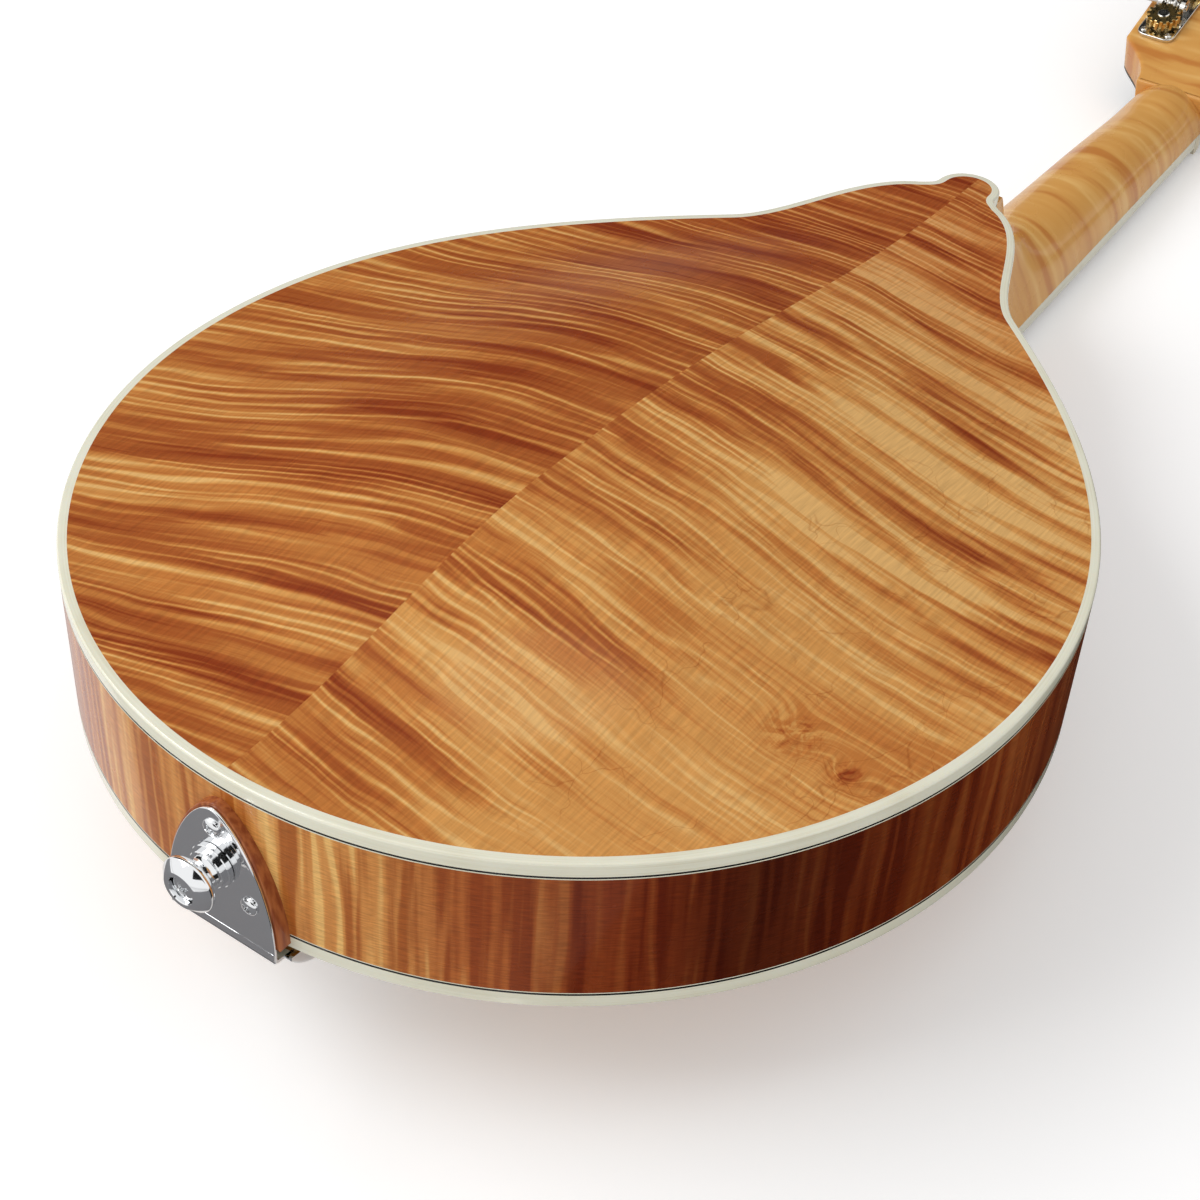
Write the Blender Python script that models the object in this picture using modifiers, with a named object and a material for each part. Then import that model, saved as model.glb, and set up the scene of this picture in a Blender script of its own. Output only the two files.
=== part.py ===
"""An a-style mandolin, lying on its bridge and string posts with its back up.

Every size is in metres. Two frames are used while building:

the instrument frame: x across, towards the bass side; y from the tail along the body; z from the
front to the back, with z = 0 on the front edge of the body;
the neck frame: its origin on the front of the fingerboard at the nut, y along the neck.

A root empty holds the instrument frame, and at the end it is tilted and moved so that the saddle
and the first string posts stand on z = 0 and the whole is centred over the origin.
"""

from math import acos, atan2, cos, pi, radians, sin, tan

import bmesh
import bpy
import numpy as np
from mathutils import Matrix, Vector
from mathutils.geometry import interpolate_bezier

# Clearances
GLUE_GAP = 0.0003  # glued or resting faces
RUNNING_GAP = 0.0003  # round a turning shaft

# Body outline
BODY_WIDTH = 0.254
BODY_LENGTH = 0.3355
BOUT_DEPTH = 0.131  # from the tail to the widest place
SHOULDER_HALF_WIDTH = 0.0484  # where the flank turns from convex to concave
SHOULDER_Y = 0.275
SHOULDER_SLOPE = radians(47.3)  # of the flank there, from the centre line
SHOULDER_SWEEP = 0.066  # how far the bout runs straight on before it turns in
FLANK_SWEEP = 0.0516
NOSE_SWEEP = 0.0225
NOSE_ROUND = 0.0324
BUTTON_RADIUS = 0.010  # the tongue of the back over the heel
BUTTON_LENGTH = 0.0125

# Body shell
BODY_DEPTH = 0.0445
BACK_THICKNESS = 0.0035
TOP_THICKNESS = 0.0044
BACK_RISE = 0.0146  # of the crown over the edge
TOP_RISE = 0.0140
ARCH_START = 0.004  # the arch's profile along the seam, from the tail
CROWN_START = 0.112
CROWN_END = 0.140
ARCH_END = 0.320
ARCH_FLAT_TOP = 0.12  # shares of the half width
ARCH_FLAT_EDGE = 0.95
RIM_THICKNESS = 0.0025
BINDING_WIDTH = 0.0021
BINDING_ROUND = 0.0007
LINING_HEIGHT = 0.0070
LINING_WIDTH = 0.0040
SOUNDHOLE_WIDTH = 0.060
SOUNDHOLE_LENGTH = 0.042
SOUNDHOLE_FROM_BRIDGE = 0.069
NECK_BLOCK_LENGTH = 0.040
TAIL_BLOCK_WIDTH = 0.060
TAIL_BLOCK_LENGTH = 0.016
BRACE_FROM_HOLE = 0.009
BRACE_WIDTH = 0.006
BRACE_HEIGHT = 0.010
BRACE_END_CLEARANCE = 0.004  # from the linings

# Neck and fingerboard
SCALE_LENGTH = 0.352
NECK_PITCH = radians(3.58)
FINGERBOARD_STAND = 0.016  # of its face over the front edge where the neck meets the body
FINGERBOARD_THICKNESS = 0.005
NUT_WIDTH = 0.0286
WIDTH_AT_BODY = 0.0376
FINGERBOARD_BINDING = 0.0015
FRETS = 20
FRET_WIDTH = 0.0016
FRET_HEIGHT = 0.0010
BOARD_PAST_LAST_FRET = 0.003
NECK_DEPTH_AT_NUT = 0.0150  # wood behind the fingerboard
NECK_DEPTH_AT_THIRD_FRET = 0.0180
NECK_DEPTH_AT_HEEL = 0.0205
HEEL_HALF_WIDTH = 0.0088  # at the heel cap
HEEL_LENGTH = 0.046
TRUSS_ROD_DIAMETER = 0.0048
TRUSS_ROD_DEPTH = 0.0052  # of its axis below the fingerboard
TRUSS_ROD_INTO_HEEL = 0.0040
TRUSS_ROD_END_GAP = 0.0030  # in its groove, at the heel
TRUSS_NUT_DIAMETER = 0.0064
TRUSS_NUT_LENGTH = 0.009
TRUSS_POCKET_WIDTH = 0.0084
TRUSS_POCKET_LENGTH = 0.016
TRUSS_POCKET_DEPTH = 0.0095
TRUSS_COVER_WIDTH = 0.020
TRUSS_COVER_LENGTH = 0.030
TRUSS_COVER_THICKNESS = 0.0015

# Nut, bridge and strings
NUT_THICKNESS = 0.0045
NUT_STRING_HEIGHT = 0.0015  # of the strings' axes over the fingerboard, at the nut
STRING_HEIGHT_AT_BODY = 0.0027
NUT_COURSE_SPREAD = 0.0208
BRIDGE_COURSE_SPREAD = 0.0364
NUT_PAIR_SPACING = 0.0021
BRIDGE_PAIR_SPACING = 0.0026
STRING_DIAMETERS = (0.00102, 0.00066, 0.00038, 0.00028)  # bass course first
STRING_PROUD = 0.0003  # over the saddle's crest
BRIDGE_LENGTH = 0.112
BRIDGE_FOOT_WIDTH = 0.0105
BRIDGE_FOOT_DEPTH = 0.0050
BRIDGE_TIP_DEPTH = 0.0028
SADDLE_LENGTH = 0.066
SADDLE_WIDTH = 0.0060
SADDLE_CREST_WIDTH = 0.0026
SADDLE_CREST_DEPTH = 0.0028
COMPENSATION = (-0.0012, 0.0010, -0.0006, 0.0012)  # of each course's crest along the string
BRIDGE_POST_SPACING = 0.052
BRIDGE_POST_DIAMETER = 0.0034
BRIDGE_POST_IN_FOOT = 0.0038
BRIDGE_POST_IN_SADDLE = 0.0032
THUMBWHEEL_DIAMETER = 0.0140
THUMBWHEEL_THICKNESS = 0.0022
THUMBWHEEL_NOTCHES = 18
THUMBWHEEL_NOTCH_DEPTH = 0.0005
THUMBWHEEL_MARGIN = 0.0010  # of the foot's flat middle beyond the wheels
SADDLE_LOWERING = 0.0015
SADDLE_LIFT = 0.0020

# Tailpiece and strap button
TAIL_PLATE_THICKNESS = 0.0009
TAIL_PLATE_OUT = 0.0025  # of its inner face from the rim
TAIL_PLATE_TOP = 0.0365
TAIL_PLATE_HALF_WIDTH = 0.0158
TAIL_PLATE_WIDE_AT = 0.002
TAIL_PLATE_BEND = -0.0015  # inner face of the leg over the front edge
TAIL_LEG_LENGTH = 0.028
TAIL_LEG_SLOPE = 0.088
SHIM_MARGIN = 0.0008
TAIL_SCREWS = ((0.0, 0.0312), (0.0095, 0.0130), (-0.0095, 0.0130))  # x and z
TAIL_SCREW_LENGTH = 0.012
HOOK_WIDTH = 0.0016
HOOK_HEIGHT = 0.0046
HOOK_SPACING = 0.0032
HOOK_Y = 0.0225
COVER_THICKNESS = 0.0008
COVER_LENGTH = 0.072
COVER_TRAVEL = 0.014
STRAP_BUTTON_Z = 0.0205
STRAP_BUTTON_LENGTH = 0.0108
STRAP_BUTTON_RADIUS = 0.0072
STRAP_BUTTON_NECK = 0.0038
STRAP_BUTTON_END = 0.0047
STRAP_SCREW_HEAD = 0.0032
STRAP_SCREW_LENGTH = 0.022
SCREW_SHANK = 0.0013

# Headstock and tuning machines
HEAD_ANGLE = radians(14.0)
HEAD_LENGTH = 0.150
HEAD_THICKNESS = 0.0145
HEAD_WAIST = 0.029  # half width at the first posts
HEAD_HALF_WIDTH = 0.0325
HEAD_FLARE = 0.022
HEAD_CROWN = 0.024  # height of the rounded end
VENEER_THICKNESS = 0.0015
POST_HALF_SPACING = 0.019
FIRST_POST = 0.032
POST_STEP = 0.023
POST_DIAMETER = 0.0060
POST_STAND = 0.0165  # of its tip over the headstock's wood
STRING_HOLE_STAND = 0.0085
TUNER_PLATE_THICKNESS = 0.0012
TUNER_PLATE_WIDTH = 0.0150
TUNER_PLATE_END = 0.0085
GEAR_TEETH = 14
GEAR_PITCH_RADIUS = 0.0060
GEAR_TIP = 0.0004  # of a tooth outside the pitch circle
GEAR_ROOT = 0.0008
GEAR_THICKNESS = 0.0035
TOOTH_TIP_HALF_WIDTH = 0.00030
WORM_CENTRE_DISTANCE = 0.0085
WORM_RADIUS = 0.0029
WORM_ROOT_RADIUS = 0.0017
WORM_LENGTH = 0.0060
KNOB_SHAFT_RADIUS = 0.0013
EAR_THICKNESS = 0.0018
EAR_WIDTH = 0.0064
KNOB_START = 0.0165  # from the middle of the worm
KNOB_LENGTH = 0.0145
KNOB_HALF_WIDTH = 0.0063
KNOB_HALF_THICKNESS = 0.0033

# Places that follow from the sizes above
NUT_Y = BODY_LENGTH + SCALE_LENGTH / 2  # the twelfth fret lies over the end of the body
BRIDGE_Y = NUT_Y - SCALE_LENGTH
NUT_Z = tan(NECK_PITCH) * SCALE_LENGTH / 2 - FINGERBOARD_STAND
SOUNDHOLE_Y = BRIDGE_Y + SOUNDHOLE_FROM_BRIDGE
WORM_PITCH = 2 * pi * GEAR_PITCH_RADIUS / GEAR_TEETH
LAST_FRET_Y = -SCALE_LENGTH * (1 - 2 ** (-FRETS / 12))
BOARD_END_Y = LAST_FRET_Y - BOARD_PAST_LAST_FRET
NECK = Matrix.Translation((0, NUT_Y, NUT_Z)) @ Matrix.Rotation(NECK_PITCH, 4, "X")
HEAD = (
    NECK
    @ Matrix.Translation((0, NUT_THICKNESS + 2 * GLUE_GAP, FINGERBOARD_THICKNESS))
    @ Matrix.Rotation(HEAD_ANGLE, 4, "X")
)
FACING_TAIL = Matrix.Rotation(pi / 2, 4, "X")  # turns local z to -y, and local y to z
STRING_SLOPE = (STRING_HEIGHT_AT_BODY - NUT_STRING_HEIGHT) * 2 / SCALE_LENGTH
SADDLE_STRING = NECK @ Vector((0, -SCALE_LENGTH, -NUT_STRING_HEIGHT - STRING_SLOPE * SCALE_LENGTH))
SADDLE_CREST_Z = SADDLE_STRING.z + STRING_PROUD - STRING_DIAMETERS[0] / 2


# Scene, materials and small builders


def clear_scene():
    for item in list(bpy.data.objects):
        bpy.data.objects.remove(item)


def material(name, colour, roughness, metallic=0.0):
    made = bpy.data.materials.new(name)
    made.use_nodes = True
    shader = made.node_tree.nodes["Principled BSDF"]
    shader.inputs["Base Color"].default_value = (*colour, 1)
    shader.inputs["Roughness"].default_value = roughness
    shader.inputs["Metallic"].default_value = metallic
    return made


clear_scene()
PARTS = bpy.data.collections.new("a_style_mandolin")
CUTTERS = bpy.data.collections.new("cutters")
bpy.context.scene.collection.children.link(PARTS)
bpy.context.scene.collection.children.link(CUTTERS)
INSTRUMENT = bpy.data.objects.new("instrument_frame", None)
PARTS.objects.link(INSTRUMENT)

MAPLE = material("flamed_maple", (0.52, 0.24, 0.07), 0.25)
NECK_MAPLE = material("neck_maple", (0.42, 0.19, 0.06), 0.3)
SPRUCE = material("spruce", (0.62, 0.36, 0.12), 0.3)
LINING_WOOD = material("lining_wood", (0.55, 0.40, 0.24), 0.7)
IVOROID = material("ivoroid_binding", (0.86, 0.82, 0.64), 0.35)
EBONY = material("ebony", (0.03, 0.022, 0.018), 0.45)
SHIM_WOOD = material("shim_mahogany", (0.20, 0.045, 0.02), 0.4)
BONE = material("bone", (0.82, 0.78, 0.66), 0.4)
CHROME = material("chrome", (0.75, 0.76, 0.77), 0.12, 1.0)
STEEL = material("string_steel", (0.60, 0.60, 0.62), 0.3, 1.0)
BRONZE = material("wound_bronze", (0.62, 0.42, 0.22), 0.35, 1.0)
BRASS = material("brass_screw", (0.70, 0.52, 0.25), 0.3, 1.0)
PEARL = material("pearloid", (0.85, 0.85, 0.80), 0.25)


def place(name, mesh, finish, matrix=Matrix(), cutter=False):
    """Makes a mesh an object under the instrument frame, in its place."""
    made = bpy.data.objects.new(name, mesh)
    (CUTTERS if cutter else PARTS).objects.link(made)
    made.parent = INSTRUMENT
    made.matrix_basis = matrix
    if cutter:
        made.hide_render = True
        made.display_type = "WIRE"
    elif not mesh.materials:
        mesh.materials.append(finish)
    return made


def mesh_of(name, points, faces):
    mesh = bpy.data.meshes.new(name)
    mesh.from_pydata([tuple(map(float, p)) for p in points], [], [tuple(map(int, f)) for f in faces])
    mesh.update()
    return mesh


def loft(name, sections, finish, matrix=Matrix(), cutter=False):
    """A solid through closed sections, each a ring of as many points, capped at both ends.

    Seen from the last section, each ring runs anticlockwise.
    """
    sections = np.asarray(sections, float)
    count, around = sections.shape[:2]
    faces = [
        (i * around + j, i * around + (j + 1) % around,
         (i + 1) * around + (j + 1) % around, (i + 1) * around + j)
        for i in range(count - 1)
        for j in range(around)
    ]
    faces.append(tuple(reversed(range(around))))
    faces.append(tuple(range((count - 1) * around, count * around)))
    return place(name, mesh_of(name, sections.reshape(-1, 3), faces), finish, matrix, cutter)


def hoop(name, outline, section, finish, cutter=False):
    """A closed band: a section of (distance in from the outline, z) carried round the outline."""
    rows = [np.column_stack([inset(outline, deep), np.full(len(outline), z)]) for deep, z in section]
    rows = np.array(rows)
    count, around = rows.shape[:2]
    faces = [
        (i * around + j, i * around + (j + 1) % around,
         (i + 1) % count * around + (j + 1) % around, (i + 1) % count * around + j)
        for i in range(count)
        for j in range(around)
    ]
    return place(name, mesh_of(name, rows.reshape(-1, 3), faces), finish, cutter=cutter)


def flat_piece(name, outlines, thickness, finish, matrix=Matrix(), cutter=False):
    """A sheet of this thickness with these outlines, the first outside and any others holes.

    Its outlines lie in local x and y, and its thickness is centred on local z = 0.
    """
    curve = bpy.data.curves.new(name, "CURVE")
    curve.dimensions = "2D"
    curve.fill_mode = "BOTH"
    curve.extrude = thickness / 2
    for outline in outlines:
        spline = curve.splines.new("POLY")
        spline.points.add(len(outline) - 1)
        for point, (x, y) in zip(spline.points, outline):
            point.co = (x, y, 0, 1)
        spline.use_cyclic_u = True
    guide = bpy.data.objects.new(name, curve)
    CUTTERS.objects.link(guide)
    mesh = solid_from(guide)
    bpy.data.objects.remove(guide)
    return place(name, mesh, finish, matrix, cutter)


def solid_from(shape):
    """The mesh of an object as its modifiers leave it, with loose caps welded."""
    bpy.context.view_layer.update()
    evaluated = shape.evaluated_get(bpy.context.evaluated_depsgraph_get())
    mesh = bpy.data.meshes.new_from_object(evaluated)
    work = bmesh.new()
    work.from_mesh(mesh)
    bmesh.ops.remove_doubles(work, verts=work.verts, dist=0.000002)
    work.to_mesh(mesh)
    work.free()
    return mesh


def block(name, size, centre, finish, matrix=Matrix(), cutter=False):
    mesh = bpy.data.meshes.new(name)
    work = bmesh.new()
    bmesh.ops.create_cube(work, size=1, matrix=Matrix.Translation(centre) @ Matrix.Diagonal((*size, 1)))
    work.to_mesh(mesh)
    work.free()
    return place(name, mesh, finish, matrix, cutter)


def rod(name, radius, low, high, finish, matrix=Matrix(), sides=12, cutter=False):
    """A cylinder along local z. A cutter is widened so that its flats clear the radius."""
    if cutter:
        radius = radius / cos(pi / sides)
    mesh = bpy.data.meshes.new(name)
    work = bmesh.new()
    bmesh.ops.create_cone(work, cap_ends=True, segments=sides, radius1=radius, radius2=radius,
                          depth=high - low, matrix=Matrix.Translation((0, 0, (low + high) / 2)))
    work.to_mesh(mesh)
    work.free()
    return place(name, mesh, finish, matrix, cutter)


def turned(name, profile, finish, matrix=Matrix(), sides=16, closed=False, cutter=False):
    """A shape turned about local z from a profile of (radius, z) that runs down its outer side."""
    edges = [(i, i + 1) for i in range(len(profile) - 1)]
    if closed:
        edges.append((len(profile) - 1, 0))
    mesh = bpy.data.meshes.new(name)
    mesh.from_pydata([(radius, 0, z) for radius, z in profile], edges, [])
    made = place(name, mesh, finish, matrix, cutter)
    screw = made.modifiers.new("turn", "SCREW")
    screw.steps = screw.render_steps = sides
    screw.use_merge_vertices = True
    screw.merge_threshold = 0.00001
    screw.use_smooth_shade = False
    return made


def tube(name, points, radius, finish, sides_resolution=1):
    """A round wire through these points, with closed ends."""
    curve = bpy.data.curves.new(name, "CURVE")
    curve.dimensions = "3D"
    curve.bevel_depth = radius
    curve.bevel_resolution = sides_resolution
    curve.use_fill_caps = True
    spline = curve.splines.new("POLY")
    spline.points.add(len(points) - 1)
    for point, co in zip(spline.points, points):
        point.co = (*co, 1)
    guide = bpy.data.objects.new(name, curve)
    CUTTERS.objects.link(guide)
    mesh = solid_from(guide)
    bpy.data.objects.remove(guide)
    return place(name, mesh, finish)


def combine(target, other, operation):
    boolean = target.modifiers.new(other.name, "BOOLEAN")
    boolean.object = other
    boolean.operation = operation
    return target


def cut(target, *cutters):
    for cutter in cutters:
        combine(target, cutter, "DIFFERENCE")
    return target


def fuse(target, *others):
    for other in others:
        combine(target, other, "UNION")
    return target


def finished_mesh(shape):
    """Applies an object's modifiers for pieces that share one mesh, and removes the object."""
    mesh = solid_from(shape)
    bpy.data.objects.remove(shape)
    return mesh


def circle(radius, count, centre=(0, 0)):
    turn = np.arange(count) * 2 * pi / count
    return np.column_stack([centre[0] + radius * np.cos(turn), centre[1] + radius * np.sin(turn)])


def bezier(knot, handle, next_handle, next_knot, steps):
    """Points along one Bezier curve, without its last."""
    line = interpolate_bezier(
        *(Vector((*p, 0)) for p in (knot, handle, next_handle, next_knot)), steps + 1
    )
    return [(p.x, p.y) for p in line[:-1]]


def mirrored(half):
    """A whole outline from its right half. A point on the centre line is not repeated."""
    half = np.array(half)
    left = half[half[:, 0] > 0.000001][::-1] * (-1, 1)
    return np.concatenate([half, left])


# Outline of the body


def half_outline():
    """The right half from the tail: a quarter ellipse, then a convex and a concave curve."""
    widest = (BODY_WIDTH / 2, BOUT_DEPTH)
    shoulder = (SHOULDER_HALF_WIDTH, SHOULDER_Y)
    end = (0, BODY_LENGTH)
    lean = (-sin(SHOULDER_SLOPE), cos(SHOULDER_SLOPE))
    turns = np.arange(11) * pi / 22
    points = [(widest[0] * sin(t), BOUT_DEPTH * (1 - cos(t))) for t in turns]
    points += bezier(
        widest,
        (widest[0], BOUT_DEPTH + SHOULDER_SWEEP),
        (shoulder[0] - FLANK_SWEEP * lean[0], shoulder[1] - FLANK_SWEEP * lean[1]),
        shoulder,
        8,
    )
    points += bezier(
        shoulder,
        (shoulder[0] + NOSE_SWEEP * lean[0], shoulder[1] + NOSE_SWEEP * lean[1]),
        (end[0] + NOSE_ROUND, end[1]),
        end,
        7,
    )
    return points + [end]


def half_outline_with_button():
    """The back's right half, which runs out round the button that covers the heel."""
    points = [p for p in half_outline() if p[0] > BUTTON_RADIUS * 1.2 or p[1] < BOUT_DEPTH]
    centre = BODY_LENGTH + BUTTON_LENGTH - BUTTON_RADIUS
    corner = (BUTTON_RADIUS * 1.1, BODY_LENGTH - BUTTON_RADIUS * 0.15)
    turns = np.arange(5) * pi / 8
    return points + [corner] + [(BUTTON_RADIUS * cos(t), centre + BUTTON_RADIUS * sin(t)) for t in turns]


def inset(outline, distance):
    """The outline moved in by a distance, square to its tangent at each point."""
    tangent = np.roll(outline, -1, axis=0) - np.roll(outline, 1, axis=0)
    tangent /= np.linalg.norm(tangent, axis=1)[:, None]
    outward = np.column_stack([tangent[:, 1], -tangent[:, 0]])
    return outline - outward * distance


OUTLINE = mirrored(half_outline())
BACK_OUTLINE = mirrored(half_outline_with_button())
CROWN = np.array([0, (CROWN_START + CROWN_END) / 2])


def arch(x, y, rise):
    """Height of an arched plate over its edge: a profile along the seam times one across it.

    The profile along climbs in half a cosine wave from near the tail to the crown, stays level,
    and falls in a longer one towards the neck. The profile across falls in half a cosine wave
    from the seam to the flat border, and is stretched to the outline's width at each y.
    """
    x, y = np.abs(np.asarray(x, float)), np.asarray(y, float)
    right = OUTLINE[: len(OUTLINE) // 2 + 1]
    half_width = np.interp(y, right[:, 1], right[:, 0])
    climb = np.clip((y - ARCH_START) / (CROWN_START - ARCH_START), 0, 1)
    fall = np.clip((y - CROWN_END) / (ARCH_END - CROWN_END), 0, 1)
    across = x / np.maximum(half_width, 0.0001)
    across = np.clip((across - ARCH_FLAT_TOP) / (ARCH_FLAT_EDGE - ARCH_FLAT_TOP), 0, 1)
    along = (1 - np.cos(pi * climb)) * (1 + np.cos(pi * fall)) / 4
    return rise * along * (1 + np.cos(pi * across)) / 2


# Body shell


def arched_sheet(name, outline, edge_z, side, rise, finish, cutter=False):
    """An open sheet of rings that close in on the crown. Side is 1 for the back, -1 for the top."""
    rings = []
    for share in (0, 0.09, 0.24, 0.44, 0.70):
        ring = CROWN + (1 - share) * (outline - CROWN)
        rings.append(np.column_stack([ring, edge_z + side * arch(*ring.T, rise)]))
    around = len(outline)
    points = np.concatenate(rings + [[(*CROWN, edge_z + side * rise)]])
    faces = [
        (i * around + j, i * around + (j + 1) % around,
         (i + 1) * around + (j + 1) % around, (i + 1) * around + j)
        for i in range(len(rings) - 1)
        for j in range(around)
    ]
    last = (len(rings) - 1) * around
    faces += [(last + j, last + (j + 1) % around, len(points) - 1) for j in range(around)]
    if side < 0:
        faces = [tuple(reversed(face)) for face in faces]
    return place(name, mesh_of(name, points, faces), finish, cutter=cutter)


def thicken(sheet, thickness):
    wall = sheet.modifiers.new("wall", "SOLIDIFY")
    wall.thickness = thickness
    wall.offset = -1
    wall.use_even_offset = True
    return sheet


def build_plates():
    edge = BINDING_WIDTH + GLUE_GAP
    thicken(arched_sheet("back", inset(BACK_OUTLINE, edge), BODY_DEPTH, 1, BACK_RISE, MAPLE), BACK_THICKNESS)
    top = thicken(arched_sheet("top", inset(OUTLINE, edge), 0, -1, TOP_RISE, SPRUCE), TOP_THICKNESS)
    hole = circle(1, 24) * (SOUNDHOLE_WIDTH / 2, SOUNDHOLE_LENGTH / 2) + (0, SOUNDHOLE_Y)
    cut(top, flat_piece("soundhole_cutter", [hole], 2 * BODY_DEPTH, None, cutter=True))


def build_bands():
    """The rim, its linings and the bindings on both edges."""
    low, high = TOP_THICKNESS, BODY_DEPTH - BACK_THICKNESS
    rim = hoop("rim", OUTLINE, [(0, low + GLUE_GAP), (0, high - GLUE_GAP),
                                (RIM_THICKNESS, high - GLUE_GAP), (RIM_THICKNESS, low + GLUE_GAP)], MAPLE)
    small = BINDING_ROUND
    hoop("back_binding", BACK_OUTLINE,
         [(0, high), (0, BODY_DEPTH - small), (small, BODY_DEPTH), (BINDING_WIDTH, BODY_DEPTH),
          (BINDING_WIDTH, high)], IVOROID)
    hoop("top_binding", OUTLINE,
         [(small, 0), (0, small), (0, low), (BINDING_WIDTH, low), (BINDING_WIDTH, 0)], IVOROID)
    return rim


def lining_section(low, high, grown=0.0):
    near = RIM_THICKNESS + GLUE_GAP - grown
    far = RIM_THICKNESS + GLUE_GAP + LINING_WIDTH + grown
    return [(near, low - grown), (near, high + grown), (far, high + grown), (far, low - grown)]


def build_linings():
    """Both linings, and the spaces that they need in the blocks."""
    spaces = []
    start = TOP_THICKNESS + GLUE_GAP
    for name, low in (("top_lining", start),
                      ("back_lining", BODY_DEPTH - BACK_THICKNESS - GLUE_GAP - LINING_HEIGHT)):
        high = low + LINING_HEIGHT
        hoop(name, OUTLINE, lining_section(low, high), LINING_WOOD)
        spaces.append(hoop(name + "_space", OUTLINE, lining_section(low, high, GLUE_GAP), None, cutter=True))
    return spaces


def build_blocks(lining_spaces):
    low = TOP_THICKNESS + GLUE_GAP
    high = BODY_DEPTH - BACK_THICKNESS - GLUE_GAP
    inner = inset(OUTLINE, RIM_THICKNESS + GLUE_GAP)
    middle = Matrix.Translation((0, 0, (low + high) / 2))
    start = BODY_LENGTH - NECK_BLOCK_LENGTH
    right = inner[: len(inner) // 2 + 1]
    upper = right[right[:, 1] > BOUT_DEPTH]
    corner = np.interp(start, upper[:, 1], upper[:, 0])
    nose = np.concatenate([[(corner, start)], inner[inner[:, 1] > start], [(-corner, start)]])
    neck_block = flat_piece("neck_block", [nose], high - low, LINING_WOOD, middle)
    half = TAIL_BLOCK_WIDTH / 2
    reach = right[(right[:, 0] < half) & (right[:, 1] < BOUT_DEPTH)]
    lower = right[right[:, 1] < BOUT_DEPTH]
    edge_y = np.interp(half, lower[:, 0], lower[:, 1])
    depth = inner[0][1] + TAIL_BLOCK_LENGTH
    left = reach[:0:-1] * (-1, 1)
    tail = np.concatenate([[(-half, depth), (-half, edge_y)], left, reach, [(half, edge_y), (half, depth)]])
    tail_block = flat_piece("tail_block", [tail], high - low, LINING_WOOD, middle)
    for piece in (neck_block, tail_block):
        cut(piece, *lining_spaces)
    return tail_block


def build_top_brace():
    """A bar across the inside of the top, behind the soundhole, that follows the arch."""
    y = SOUNDHOLE_Y - SOUNDHOLE_LENGTH / 2 - BRACE_FROM_HOLE
    inner = inset(OUTLINE, RIM_THICKNESS + LINING_WIDTH + BRACE_END_CLEARANCE)[: len(OUTLINE) // 2 + 1]
    upper = inner[inner[:, 1] > BOUT_DEPTH]
    x = np.linspace(-1, 1, 13) * np.interp(y + BRACE_WIDTH / 2, upper[:, 1], upper[:, 0])
    lowest = np.minimum(arch(x, y - BRACE_WIDTH / 2, TOP_RISE), arch(x, y + BRACE_WIDTH / 2, TOP_RISE))
    seat = TOP_THICKNESS * 1.1 + GLUE_GAP - lowest
    taper = 1 - 0.7 * np.abs(x / x[-1]) ** 3
    inner_edge = seat + BRACE_HEIGHT * taper
    outline = np.concatenate([np.column_stack([x, seat]), np.column_stack([x, inner_edge])[::-1]])
    flat_piece("top_brace", [outline], BRACE_WIDTH, SPRUCE, Matrix.Translation((0, y, 0)) @ FACING_TAIL)


# Neck


def board_half_width(y):
    """Half the neck's width at a place along the neck frame's y, which is negative below the nut."""
    return NUT_WIDTH / 2 - y * (WIDTH_AT_BODY - NUT_WIDTH) / SCALE_LENGTH


def neck_section(y, face, depth, heel, half_width):
    """One section across the neck: flat under the fingerboard, round behind.

    Where heel is 1 the sides draw in to the narrow heel cap instead.
    """
    share = np.array([0, 0.25, 0.5, 0.72, 0.88, 0.97])
    round_side = half_width * np.sqrt(1 - share**2)
    heel_side = HEEL_HALF_WIDTH + (half_width - HEEL_HALF_WIDTH) * (1 - share) ** 1.6
    side = (1 - heel) * round_side + heel * heel_side
    z = face + depth * share / share[-1]
    right = np.column_stack([side, np.full(6, y), z])
    return np.concatenate([right, right[::-1] * (-1, 1, 1)])[::-1]


def body_space():
    """The room that the body takes from the neck: its outline under the top's arch."""
    grown = inset(OUTLINE, -GLUE_GAP)
    sheet = arched_sheet("body_space", grown, -2 * GLUE_GAP, -1, TOP_RISE, None, cutter=True)
    work = bmesh.new()
    work.from_mesh(sheet.data)
    rim = [edge for edge in work.edges if edge.is_boundary]
    skirt = bmesh.ops.extrude_edge_only(work, edges=rim)["geom"]
    moved = [part for part in skirt if isinstance(part, bmesh.types.BMVert)]
    for vert in moved:
        vert.co.z = 2 * BODY_DEPTH
    bmesh.ops.contextual_create(work, geom=[e for e in work.edges if e.is_boundary])
    bmesh.ops.recalc_face_normals(work, faces=work.faces)
    work.to_mesh(sheet.data)
    work.free()
    return sheet


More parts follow.
